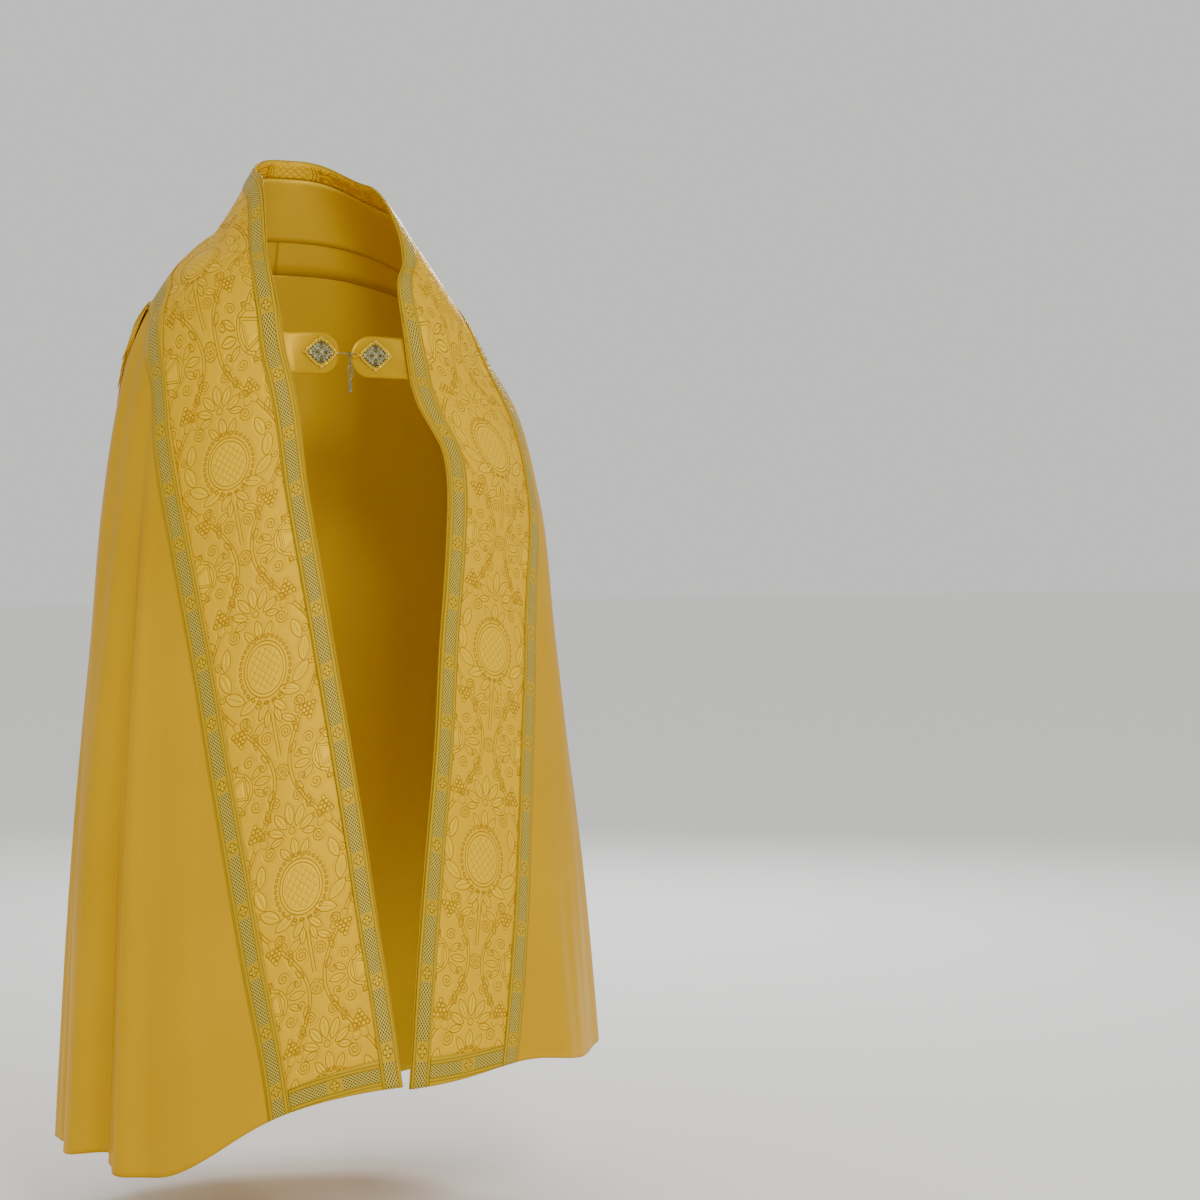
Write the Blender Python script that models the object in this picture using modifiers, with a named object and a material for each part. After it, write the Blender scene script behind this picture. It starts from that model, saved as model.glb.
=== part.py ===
"""A liturgical cope worn open over the shoulders, fastened at the chest by a morse with a metal clasp.

The cloth is a half circle of satin whose straight edge carries a damask orphrey band. The band goes up
one front, round the back of the neck and down the other. Every piece of cloth lies on one draped surface,
which is given by rings from the neck edge (level -1) over the seam of the band at the back (level 0) to
the hem (level 1). An angle runs round each ring: 0 at the centre of the back, 180 at the centre of the
front, and a side of -1 or 1 says the wearer's right or left. The wearer faces -Y, with +Z up, and the
origin is on the axis of the neck at the height of the shoulders.
"""

import math

import bpy
import bmesh
import numpy as np

MM = 0.001
RIGHT, LEFT = -1, 1

# Walls of cloth, and the gap kept between pieces that touch
SATIN_WALL = 1.6 * MM
DAMASK_WALL = 2.2 * MM
TRIM_WALL = 1.2 * MM
LINING_WALL = 1.0 * MM
GAP = 0.3 * MM
SEAM_GAP = 1.3 * MM

# Shares of the band's width at the edges of its two galloons, and where its rows stand along it
BAND_SHARES = (0.0, 0.15, 0.5, 0.85, 1.0)
GALLOON_HALF = 0.0135
SHOULDER_AT, UPPER_ARM_AT, HEM_GALLOON_AT, HEM_AT = 0.30, 0.54, 1.468, 1.50
FACED_TO = 0.46
# The right back corner is less full than the left one, and further round
RIGHT_FULL, RIGHT_CORNER = 0.45, 3.1
BODY_COLUMNS_PER_ROW = 3

# The drape, in millimetres: a row for each ring. "full" squares the back's corners.
RING_COLUMNS = ("level", "back_y", "back_z", "full", "right_x", "right_z", "left_x", "left_z",
                "front_right_y", "front_right_z", "front_left_y", "front_left_z")
RINGS = (
    (-1.00, 116, 142, .00, 84, 108, 86, 100, 96, 60, 92, 52),
    (-0.50, 150, 62, .03, 144, 10, 166, -2, 160, -30, 122, -30),
    (0.00, 178, -25, .07, 240, -104, 236, -104, 200, -118, 152, -112),
    (0.06, 194, -85, .10, 264, -166, 273, -164, 210, -185, 165, -172),
    (0.14, 210, -170, .11, 283, -250, 316, -238, 226, -280, 205, -262),
    (0.25, 228, -300, .11, 303, -380, 350, -366, 250, -410, 244, -385),
    (0.45, 262, -560, .08, 329, -640, 376, -590, 290, -650, 278, -610),
    (0.70, 310, -910, .05, 355, -965, 407, -880, 345, -930, 305, -890),
    (1.00, 365, -1340, .03, 374, -1312, 431, -1205, 385, -1180, 355, -1192),
)

# The band from the nape to the hem: metres along it, then the angle and level of its free edge and of
# the edge that is sewn to the satin
BAND_COLUMNS = ("along", "free_angle", "free_level", "sewn_angle", "sewn_level")
BAND = {
    RIGHT: (
        (0.00, 0.0, -1.00, 0.0, 0.000),
        (0.10, 60.0, -1.00, 24.0, 0.000),
        (0.20, 103.0, -0.93, 49.0, 0.000),
        (0.30, 128.0, -0.54, 78.0, 0.000),
        (0.36, 139.0, -0.24, 91.0, 0.045),
        (0.44, 150.5, -0.01, 104.0, 0.100),
        (0.53, 157.0, 0.080, 111.5, 0.180),
        (0.70, 161.5, 0.215, 123.0, 0.305),
        (0.85, 165.5, 0.335, 130.5, 0.415),
        (1.00, 169.0, 0.460, 136.0, 0.530),
        (1.16, 172.0, 0.600, 141.0, 0.660),
        (1.30, 174.0, 0.730, 145.0, 0.790),
        (1.42, 176.0, 0.870, 148.5, 0.920),
        (1.50, 177.5, 1.000, 150.0, 1.000),
    ),
    LEFT: (
        (0.00, 0.0, -1.00, 0.0, 0.000),
        (0.10, 60.0, -1.00, 25.0, 0.000),
        (0.20, 102.0, -0.93, 51.0, 0.000),
        (0.30, 140.0, -0.52, 80.0, 0.000),
        (0.37, 151.0, -0.22, 101.0, 0.030),
        (0.45, 160.0, 0.020, 114.0, 0.085),
        (0.55, 163.0, 0.110, 116.0, 0.160),
        (0.65, 158.5, 0.190, 119.0, 0.245),
        (0.78, 162.0, 0.300, 129.0, 0.360),
        (0.93, 166.0, 0.430, 135.5, 0.485),
        (1.08, 169.0, 0.560, 141.0, 0.605),
        (1.23, 172.5, 0.695, 146.0, 0.750),
        (1.38, 176.0, 0.845, 151.0, 0.895),
        (1.50, 179.0, 1.000, 155.0, 1.000),
    ),
}

# The folds: angle at the shoulder and at the hem (negative on the wearer's right), half width in degrees,
# millimetres out at the hem, the level where it starts, and millimetres that it lowers the hem
FOLD_COLUMNS = ("name", "top", "hem", "half", "out", "first", "low")
FOLDS = (
    ("front lobe ridge", -112, -113, 6, 16, 0.18, 8),
    ("front lobe swell", -118, -129, 12, 10, 0.25, 42),
    ("side valley", -104, -103, 5, -26, -0.05, -10),
    ("side lobe", -86, -90, 9, 12, 0.25, 0),
    ("right back ridge", -52, -58, 8, 14, 0.35, 0),
    ("right back valley", -40, -44, 5, -16, 0.35, 0),
    ("right back second", -32, -34, 6, 10, 0.40, 0),
    ("right inner valley", -24, -26, 5, -18, 0.38, 0),
    ("back middle hollow", 8, 12, 14, -10, 0.50, 0),
    ("left back swell", 38, 40, 12, 12, 0.40, 0),
    ("left back valley", 52, 56, 5, -20, 0.38, 0),
    ("left back ridge", 60, 66, 5, 16, 0.38, 0),
    ("left side hollow", 78, 82, 8, -12, 0.45, 0),
    ("left side swell", 92, 98, 12, 10, 0.35, 0),
    ("left front hollow", 112, 120, 8, -9, 0.50, 0),
    ("left front swell", 126, 135, 9, 7, 0.50, 0),
    ("left edge lift", 150, 152, 12, 0, 0.60, -20),
)

# The hood: a shield that hangs from the sewn edge of the band, with a fringe round three sides
HOOD_HALF_WIDTH, HOOD_DROP, HOOD_CORNER = 0.292, 0.482, 0.175
HOOD_TOP_LIFT, HOOD_LIFT, HOOD_FULL_LIFT_AT = 4.4 * MM, 8.5 * MM, 0.03
HOOD_SIDE_ROWS, HOOD_COLUMNS = 16, 18
HOOD_GALLOON = 0.030
FRINGE_STRANDS, FRINGE_LENGTH, FRINGE_STRIP = 200, 0.070, 0.006
FRINGE_STRIP_WALL, STRAND_WIDTH, STRAND_DEPTH = 2.0 * MM, 3.6 * MM, 3.2 * MM
FRINGE_HANG = {RIGHT: 0.84, LEFT: 0.55}

# The morse: a tab from behind each front, rounded at its end, with a plate on it
TAB_HALF_HEIGHT, TAB_BEHIND, TAB_CLEAR = 0.030, 0.15, 3.4 * MM
TABS = {
    RIGHT: {"height": -0.168, "end_x": -0.0265, "end_y": -0.176, "plate_x": -0.0580, "plate_z": -0.1670},
    LEFT: {"height": -0.171, "end_x": -0.0070, "end_y": -0.171, "plate_x": 0.0300, "plate_z": -0.1690},
}
PLATE_HALF_WIDTH, PLATE_HALF_HEIGHT, PLATE_RISE, PLATE_WALL = 0.0255, 0.0205, 1.8 * MM, 1.2 * MM

# The hook on the right plate, the eye on the left one, and the pendant that hangs on the hook's wire
HOOK_AT = (-0.0125, -0.1820, -0.1680)
HOOK_WIRE, HOOK_BEND, HOOK_RUN, HOOK_RETURN = 0.85 * MM, 2.0 * MM, 4.6 * MM, 2.6 * MM
EYE_WIRE, EYE_HALF_HEIGHT = 0.75 * MM, 3.6 * MM
RING_RADIUS, RING_WIRE, RING_DROP = 2.7 * MM, 0.7 * MM, 0.8 * MM
# Millimetres below the ring, and the radius there
PENDANT = ((0.3, 1.5), (3, 1.9), (6, 1.3), (9, 1.9), (12, 1.3), (14, 2.4), (17, 3.8), (21, 4.4), (27, 3.6),
           (32, 2.0), (34, 1.4), (37, 2.5), (43, 2.8), (49, 2.0), (53, 1.0))

COLOURS = {
    "satin": ((0.60, 0.38, 0.06), 0.42, 0.0),
    "damask": ((0.68, 0.44, 0.08), 0.45, 0.0),
    "galloon": ((0.45, 0.40, 0.16), 0.40, 0.3),
    "lining": ((0.42, 0.25, 0.04), 0.55, 0.0),
    "fringe": ((0.62, 0.42, 0.09), 0.35, 0.4),
    "metal": ((0.70, 0.62, 0.38), 0.25, 1.0),
}


def start_scene():
    for obj in list(bpy.data.objects):
        bpy.data.objects.remove(obj, do_unlink=True)
    pieces = bpy.data.collections.new("cope")
    bpy.context.scene.collection.children.link(pieces)
    return pieces


def make_materials():
    made = {}
    for name, (colour, roughness, metallic) in COLOURS.items():
        material = bpy.data.materials.new(name)
        material.use_nodes = True
        shader = material.node_tree.nodes["Principled BSDF"]
        shader.inputs["Base Color"].default_value = (*colour, 1.0)
        shader.inputs["Roughness"].default_value = roughness
        shader.inputs["Metallic"].default_value = metallic
        made[name] = material
    return made


# ---- The draped surface


def through_rows(places, values, at):
    """A smooth curve through the rows of a table that doesn't overshoot them."""
    places, values, at = (np.asarray(v, float) for v in (places, values, at))
    step = np.diff(places)
    rise = np.diff(values) / step
    slope = np.empty(len(places))
    slope[0], slope[-1] = rise[0], rise[-1]
    mixed = (rise[:-1] * step[1:] + rise[1:] * step[:-1]) / (step[:-1] + step[1:])
    limit = 3 * np.minimum(np.abs(rise[:-1]), np.abs(rise[1:]))
    turning = rise[:-1] * rise[1:] <= 0
    slope[1:-1] = np.where(turning, 0, np.sign(rise[1:]) * np.minimum(np.abs(mixed), limit))
    row = np.clip(np.searchsorted(places, at) - 1, 0, len(step) - 1)
    t = (at - places[row]) / step[row]
    return ((2 * t**3 - 3 * t**2 + 1) * values[row] + (t**3 - 2 * t**2 + t) * step[row] * slope[row]
            + (3 * t**2 - 2 * t**3) * values[row + 1] + (t**3 - t**2) * step[row] * slope[row + 1])


def ring(name, level):
    table = np.array(RINGS, float)
    return through_rows(table[:, 0], table[:, RING_COLUMNS.index(name)], level)


def bare_cloth(angle, level):
    """Points of the unfolded drape, in metres."""
    turn = np.radians(np.abs(angle))
    left, back = angle > 0, np.cos(turn) >= 0
    full = np.where(back, ring("full", level) * np.where(left, 1, RIGHT_FULL), 0)
    corner = np.where(left, turn, math.pi / 2 * (turn * 2 / math.pi) ** RIGHT_CORNER)
    grow = 1 + full * np.sin(2 * corner) ** 2
    across = np.where(left, ring("left_x", level), ring("right_x", level))
    front_y = np.where(left, ring("front_left_y", level), ring("front_right_y", level))
    front_z = np.where(left, ring("front_left_z", level), ring("front_right_z", level))
    side_z = np.where(left, ring("left_z", level), ring("right_z", level))
    deep = np.where(back, ring("back_y", level), front_y)
    end_z = np.where(back, ring("back_z", level), front_z)
    to_side = np.where(back, np.abs(np.sin(turn)) ** 3, np.sin(turn) ** 2)
    x = np.where(left, 1, -1) * across * grow * np.sin(turn)
    y = deep * grow * np.cos(turn)
    return np.stack([x, y, end_z + (side_z - end_z) * to_side], axis=-1) * MM


def outward(angle, level):
    step = 1e-3
    round_it = bare_cloth(angle + 50 * step, level) - bare_cloth(angle - 50 * step, level)
    down_it = bare_cloth(angle, level + step) - bare_cloth(angle, level - step)
    normal = np.cross(round_it, down_it)
    return normal / np.linalg.norm(normal, axis=-1, keepdims=True)


def fold_shape(angle, level):
    """How far the folds move the cloth out, and how far they lower it."""
    out, low = np.zeros_like(angle), np.zeros_like(angle)
    for row in FOLDS:
        fold = dict(zip(FOLD_COLUMNS, row))
        run = np.clip((level - fold["first"]) / (1 - fold["first"]), 0, 1)
        grown = 0.6 * run + 0.4 * run**2 * (3 - 2 * run)
        centre = fold["top"] + (fold["hem"] - fold["top"]) * np.clip(level, 0, 1)
        apart = (angle - centre) / fold["half"]
        out += fold["out"] * MM * grown * np.exp(-(apart**2))
        low += fold["low"] * MM * grown**2 * np.exp(-((apart / 1.3) ** 2))
    return out, low


def cloth(angle, level, lift=0.0, folded=True):
    angle, level = np.broadcast_arrays(np.asarray(angle, float), np.asarray(level, float))
    points, normals = bare_cloth(angle, level), outward(angle, level)
    if folded:
        out, low = fold_shape(angle, level)
        points = points + normals * out[..., None]
        points[..., 2] -= low
    return points + normals * np.asarray(lift)[..., None]


# ---- Meshes from grids of points


def new_object(name, mesh, material, pieces):
    mesh.materials.append(material)
    obj = bpy.data.objects.new(name, mesh)
    pieces.objects.link(obj)
    return obj


def mesh_of(name, points, faces):
    mesh = bpy.data.meshes.new(name)
    mesh.from_pydata([tuple(p) for p in points], [], faces)
    mesh.update()
    mesh.shade_smooth()
    mesh.set_sharp_from_angle(angle=math.radians(50))
    return mesh


def grid_faces(rows, columns, first=0):
    return [(first + i * columns + j, first + (i + 1) * columns + j,
             first + (i + 1) * columns + j + 1, first + i * columns + j + 1)
            for i in range(rows - 1) for j in range(columns - 1)]


def give_wall(obj, thickness):
    wall = obj.modifiers.new("wall", "SOLIDIFY")
    wall.thickness = thickness
    wall.offset = -1
    wall.use_even_offset = True


def sheet(name, grid, thickness, material, pieces):
    """A wall of cloth whose outer face goes through a grid of points, rows first."""
    rows, columns = grid.shape[:2]
    obj = new_object(name, mesh_of(name, grid.reshape(-1, 3), grid_faces(rows, columns)), material, pieces)
    give_wall(obj, thickness)
    return obj


def drawn_in(grid, amount, ends="tblr"):
    """The grid with its top, bottom, left or right line moved towards the next one."""
    grid = grid.copy()
    lines = {"t": (grid[0], grid[1]), "b": (grid[-1], grid[-2]),
             "l": (grid[:, 0], grid[:, 1]), "r": (grid[:, -1], grid[:, -2])}
    for end in ends:
        edge, inner = lines[end]
        towards = inner - edge
        edge += amount * towards / np.linalg.norm(towards, axis=-1, keepdims=True)
    return grid


# ---- The band, its galloons and the satin


def band_rows():
    """Where the band's rows stand: close round the neck, wider apart down the front."""
    neck = np.concatenate([[0.0, GALLOON_HALF], np.linspace(0.04, 0.25, 8), [0.275]])
    shoulder = np.linspace(SHOULDER_AT, UPPER_ARM_AT, 7)
    front = np.linspace(UPPER_ARM_AT, HEM_GALLOON_AT, 13)
    return np.concatenate([neck, shoulder, front[1:], [HEM_AT]])


def band_edges(side, along):
    along_rows, *columns = np.array(BAND[side], float).T
    return [through_rows(along_rows, column, along) for column in columns]


def band_points(side, along, shares, lift=0.0):
    """The band from its free edge (share 0) to its sewn edge (share 1), a row for each place along it."""
    free_angle, free_level, sewn_angle, sewn_level = (v[:, None] for v in band_edges(side, along))
    shares = np.asarray(shares, float)[None, :]
    angle = side * (free_angle + (sewn_angle - free_angle) * shares)
    level = free_level + (sewn_level - free_level) * shares
    return cloth(angle, level, lift)


def outward_rows(side, grid):
    """Faces turn outwards when the right side's rows are read the other way."""
    return grid if side == LEFT else grid[:, ::-1]


def both_sides(along, shares, lift=0.0):
    right = band_points(RIGHT, along, shares, lift)
    left = band_points(LEFT, along, shares, lift)
    return np.concatenate([right[::-1], left[1:]])


def make_orphreys(materials, pieces):
    for side, name in ((RIGHT, "orphrey_right"), (LEFT, "orphrey_left")):
        grid = drawn_in(band_points(side, band_rows(), BAND_SHARES), 1.2 * GAP, "tr")
        sheet(name, outward_rows(side, grid), DAMASK_WALL, materials["damask"], pieces)


def make_galloons(materials, pieces):
    lift = 1.5 * GAP + TRIM_WALL
    along = band_rows()
    shares = np.array(BAND_SHARES)
    material = materials["galloon"]
    sheet("galloon_inner", both_sides(along, shares[:2], lift), TRIM_WALL, material, pieces)
    sheet("galloon_outer", both_sides(along, shares[3:], lift), TRIM_WALL, material, pieces)
    back = drawn_in(both_sides(along[:2], shares[1:4], lift), 2 * GAP, "lr")
    sheet("galloon_centre_back", back, TRIM_WALL, material, pieces)
    for side, name in ((RIGHT, "galloon_hem_right"), (LEFT, "galloon_hem_left")):
        hem = drawn_in(band_points(side, along[-2:], shares[1:4], lift), 2 * GAP, "lr")
        sheet(name, outward_rows(side, hem), TRIM_WALL, material, pieces)


def make_neck_inside(materials, pieces):
    """The damask turned in along the neck edge, and the plain lining below it."""
    along = band_rows()
    along = along[along < FACED_TO]
    lift = -(DAMASK_WALL + 2 * GAP)
    shares = np.array(BAND_SHARES)
    facing = drawn_in(both_sides(along, shares[:2], lift), 2 * GAP, "l")
    sheet("neck_facing", facing, LINING_WALL, materials["damask"], pieces)
    lining = drawn_in(both_sides(along, shares[1:4], lift), SEAM_GAP, "l")
    sheet("collar_lining", lining, LINING_WALL, materials["lining"], pieces)


def body_points():
    """The satin: its top row lies along the band's rows at the back, and its ends along them in front."""
    rows = band_rows()
    neck, down = rows[rows < SHOULDER_AT + 1e-6], rows[rows > SHOULDER_AT - 1e-6]
    ends = {side: band_edges(side, down)[2:] for side in (RIGHT, LEFT)}
    seam_angles = np.concatenate([-band_edges(RIGHT, neck)[2][:0:-1], band_edges(LEFT, neck)[2]])
    columns = []
    for a, b in zip(seam_angles, seam_angles[1:]):
        parts = 1 if abs(a) + abs(b) < 8 else BODY_COLUMNS_PER_ROW
        columns.append(np.linspace(a, b, parts, endpoint=False))
    columns = np.concatenate(columns + [seam_angles[-1:]])
    share = (columns - columns[0]) / (columns[-1] - columns[0])
    right_angle, right_level = (v[:, None] for v in ends[RIGHT])
    left_angle, left_level = (v[:, None] for v in ends[LEFT])
    angle = -right_angle + (left_angle + right_angle) * share
    grid = cloth(angle, right_level + (left_level - right_level) * share)
    seam = cloth(seam_angles, 0.0)
    for axis in range(3):
        grid[0, :, axis] = np.interp(columns, seam_angles, seam[:, axis])
    return grid


def make_body(materials, pieces):
    grid = drawn_in(body_points(), SEAM_GAP, "tlr")
    sheet("cope_body", grid.transpose(1, 0, 2), SATIN_WALL, materials["satin"], pieces)


# ---- The hood


def hood_surface(across, down, lift):
    """Points of the back cloth at a distance round from the centre and down from the band's sewn edge."""
    levels = np.linspace(0, 0.6, 61)
    fall = bare_cloth(np.zeros(61), levels)
    fallen = np.concatenate([[0], np.cumsum(np.linalg.norm(np.diff(fall, axis=0), axis=1))])
    level = np.interp(down, fallen, levels)
    angles = np.linspace(0, 150, 76)
    flat_level, flat_across = level.ravel(), across.ravel()
    angle = np.empty_like(flat_across)
    for side in (RIGHT, LEFT):
        on_side = np.flatnonzero((flat_across > 0) == (side == LEFT))
        for k in on_side:
            line = bare_cloth(side * angles, np.full(76, flat_level[k]))
            length = np.concatenate([[0], np.cumsum(np.linalg.norm(np.diff(line, axis=0), axis=1))])
            angle[k] = side * np.interp(abs(flat_across[k]), length, angles)
    return cloth(angle.reshape(across.shape), level, lift, folded=False)


def hood_lift(down):
    return HOOD_TOP_LIFT + (HOOD_LIFT - HOOD_TOP_LIFT) * np.clip(down / HOOD_FULL_LIFT_AT, 0, 1)


def hood_outline(share, inset=0.0):
    """A point of the hood's edge and the way out of it, from the right top corner round to the left one."""
    half, drop, corner = HOOD_HALF_WIDTH - inset, HOOD_DROP - inset, HOOD_CORNER - inset
    side, arc, base = HOOD_DROP - HOOD_CORNER, math.pi / 2 * HOOD_CORNER, HOOD_HALF_WIDTH - HOOD_CORNER
    length = share * 2 * (side + arc + base)
    mirror = 1
    if length > side + arc + base:
        length, mirror = 2 * (side + arc + base) - length, -1
    if length < side:
        place, out = (-half, length), (-1.0, 0.0)
    elif length < side + arc:
        turn = (length - side) / HOOD_CORNER
        out = (-math.cos(turn), math.sin(turn))
        place = (-(half - corner) + corner * out[0], drop - corner + corner * out[1])
    else:
        place, out = (-(half - corner) + length - side - arc, drop), (0.0, 1.0)
    return (mirror * place[0], place[1]), (mirror * out[0], out[1])


def hood_edge(shares, inset=0.0):
    return np.array([hood_outline(share, inset)[0] for share in shares])


def hood_shares():
    """Places round the edge, so that the sides and the bottom of the inner field have even rows."""
    rows, columns = HOOD_SIDE_ROWS, HOOD_COLUMNS
    half_way = 0.36
    side, other_side = np.linspace(0, half_way, rows + 1), np.linspace(1 - half_way, 1, rows + 1)
    return np.concatenate([side[:-1], np.linspace(half_way, 1 - half_way, columns + 1), other_side[1:]])


def hood_field(inner):
    """A grid of flat places inside the inner outline, blended from its four sides."""
    rows, columns = HOOD_SIDE_ROWS, HOOD_COLUMNS
    right, base, left = inner[:rows + 1], inner[rows:rows + columns + 1], inner[rows + columns:][::-1]
    top = np.linspace(right[0], left[0], columns + 1)
    u = np.linspace(0, 1, rows + 1)[:, None, None]
    v = np.linspace(0, 1, columns + 1)[None, :, None]
    sides = (1 - v) * right[:, None] + v * left[:, None]
    ends = (1 - u) * top[None] + u * base[None]
    corners = ((1 - u) * ((1 - v) * top[0] + v * top[-1]) + u * ((1 - v) * base[0] + v * base[-1]))
    return sides + ends - corners


def lifted(flat, extra=0.0):
    return hood_surface(flat[..., 0], flat[..., 1], hood_lift(flat[..., 1]) + extra)


def make_hood(materials, pieces):
    rows, columns = HOOD_SIDE_ROWS, HOOD_COLUMNS
    shares = hood_shares()
    outer, inner = hood_edge(shares), hood_edge(shares, HOOD_GALLOON)
    outer[:, 1], inner[:, 1] = np.maximum(outer[:, 1], GAP), np.maximum(inner[:, 1], GAP)
    border = np.stack([inner, outer], axis=1)
    field = hood_field(inner)
    points = np.concatenate([border.reshape(-1, 2), field.reshape(-1, 2)])
    faces = grid_faces(len(shares), 2) + grid_faces(rows + 1, columns + 1, 2 * len(shares))
    mesh = mesh_of("hood", lifted(points), faces)
    shell = bmesh.new()
    shell.from_mesh(mesh)
    bmesh.ops.remove_doubles(shell, verts=shell.verts, dist=0.05 * MM)
    bmesh.ops.recalc_face_normals(shell, faces=shell.faces)
    shell.faces.ensure_lookup_table()
    middle = min(shell.faces, key=lambda f: abs(f.calc_center_median().x))
    if middle.normal.y < 0:
        bmesh.ops.reverse_faces(shell, faces=shell.faces)
    shell.to_mesh(mesh)
    shell.free()
    mesh.shade_smooth()
    give_wall(new_object("hood", mesh, materials["damask"], pieces), DAMASK_WALL)
    trim = lifted(border, 1.5 * GAP + TRIM_WALL)
    sheet("hood_galloon", trim, TRIM_WALL, materials["galloon"], pieces)


def make_fringe(materials, pieces):
    """A narrow strip round the hood with a strand on each of its steps, tapered from root to tip."""
    shares = np.linspace(0, 1, FRINGE_STRANDS + 1)
    places = [hood_outline(share) for share in shares]
    edge, out = np.array([p for p, _ in places]), np.array([o for _, o in places])
    edge[:, 1] = np.maximum(edge[:, 1], SEAM_GAP)
    upper, lower = edge + out * SEAM_GAP, edge + out * (SEAM_GAP + FRINGE_STRIP)
    lines = [lifted(upper), lifted(lower)]
    lines += [lifted(lower, -FRINGE_STRIP_WALL), lifted(upper, -FRINGE_STRIP_WALL)]
    count = FRINGE_STRANDS + 1
    points = [tuple(p) for line in lines for p in line]
    faces = []
    a, b, c, d = (k * count for k in range(4))
    for i in range(FRINGE_STRANDS):
        faces += [(a + i, b + i, b + i + 1, a + i + 1), (d + i, a + i, a + i + 1, d + i + 1),
                  (c + i, d + i, d + i + 1, c + i + 1), (c + i, c + i + 1, b + i + 1)]
    faces += [(a, d, c, b), (a + count - 1, b + count - 1, c + count - 1, d + count - 1)]
    middle = (lower[1:] + lower[:-1]) / 2
    hang = np.where(middle[:, :1] < 0, FRINGE_HANG[RIGHT], FRINGE_HANG[LEFT])
    way = (out[1:] + out[:-1]) * (1 - hang) / 2 + hang * np.array([0, 1])
    way /= np.linalg.norm(way, axis=1, keepdims=True)
    across = np.stack([way[:, 1], -way[:, 0]], axis=1) * STRAND_WIDTH / 2
    tips = middle + way * (FRINGE_LENGTH - FRINGE_STRIP)
    step = np.sign(np.sum((lower[1:] - lower[:-1]) * across, axis=1))[:, None]
    tip_lines = [lifted(tips - step * across), lifted(tips + step * across), lifted(tips, -STRAND_DEPTH)]
    for i in range(FRINGE_STRANDS):
        tip = len(points)
        points += [tuple(line[i]) for line in tip_lines]
        root = (b + i, b + i + 1, c + i)
        faces += [(root[0], tip, tip + 1, root[1]), (root[1], tip + 1, tip + 2, root[2]),
                  (root[2], tip + 2, tip, root[0]), (tip, tip + 2, tip + 1)]
    mesh = mesh_of("hood_fringe", points, faces)
    shell = bmesh.new()
    shell.from_mesh(mesh)
    bmesh.ops.recalc_face_normals(shell, faces=shell.faces)
    shell.to_mesh(mesh)
    shell.free()
    new_object("hood_fringe", mesh, materials["fringe"], pieces)


# ---- The morse and its clasp


def tab_frame(side):
    """Where the band's free edge passes the tab's heights, and the tab's end."""
    tab = TABS[side]
    along = np.linspace(0.3, 0.8, 101)
    edge_z = band_points(side, along, [0.0])[:, 0, 2]
    heights = tab["height"] + np.linspace(1, -1, 7) * TAB_HALF_HEIGHT
    return np.interp(-heights, -edge_z, along), heights, np.array([tab["end_x"], tab["end_y"]])


def tab_line(side, share):
    """The plan of the tab in front of the opening, from the free edge (0) to the end (1), bowed out."""
    at, _, end = tab_frame(side)
    start = band_points(side, at, [0.0], -TAB_CLEAR)[3, 0, :2]
    bow = 4 * share * (1 - share) * 4 * MM
    return start + (end - start) * share + np.array([0, -bow])


def make_tab(side, name, materials, pieces):
    at, heights, end = tab_frame(side)
    behind = band_points(side, at, [TAB_BEHIND, TAB_BEHIND / 2, 0.0], -TAB_CLEAR)
    visible = np.linalg.norm(end - behind[3, 2, :2])
    round_from = 1 - TAB_HALF_HEIGHT / visible
    shares = np.concatenate([np.linspace(0.12, round_from, 4), [
        round_from + (1 - round_from) * math.sin(math.radians(turn)) for turn in (25, 45, 62, 76)]])
    columns = [behind[:, k] for k in range(3)]
    for share in shares:
        past = max(0.0, (share - round_from) / (1 - round_from))
        reach = math.sqrt(1 - past**2)
        blend = min(1.0, share / 0.5)
        plan = tab_line(side, share)
        hidden = behind[:, 2, :2] - behind[3, 2, :2]
        z = heights[3] + (heights - heights[3]) * reach
        columns.append(np.column_stack([plan + hidden * (1 - blend), z]))
    grid = np.stack(columns, axis=1)
    sheet(name, grid if side == RIGHT else grid[::-1], SATIN_WALL, materials["satin"], pieces)


def plate_centre(side):
    """The plate's centre on its tab, and the unit vectors along the tab and out of it."""
    tab = TABS[side]
    shares = np.linspace(0, 1, 201)
    line = np.array([tab_line(side, s) for s in shares])
    k = int(np.argmin(np.abs(line[:, 0] - tab["plate_x"])))
    along = line[k + 1] - line[k - 1]
    along *= np.sign(along[0]) / np.linalg.norm(along)
    centre = np.array([*line[k], tab["plate_z"]])
    return centre, np.array([*along, 0.0]), np.array([along[1], -along[0], 0.0])


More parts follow.
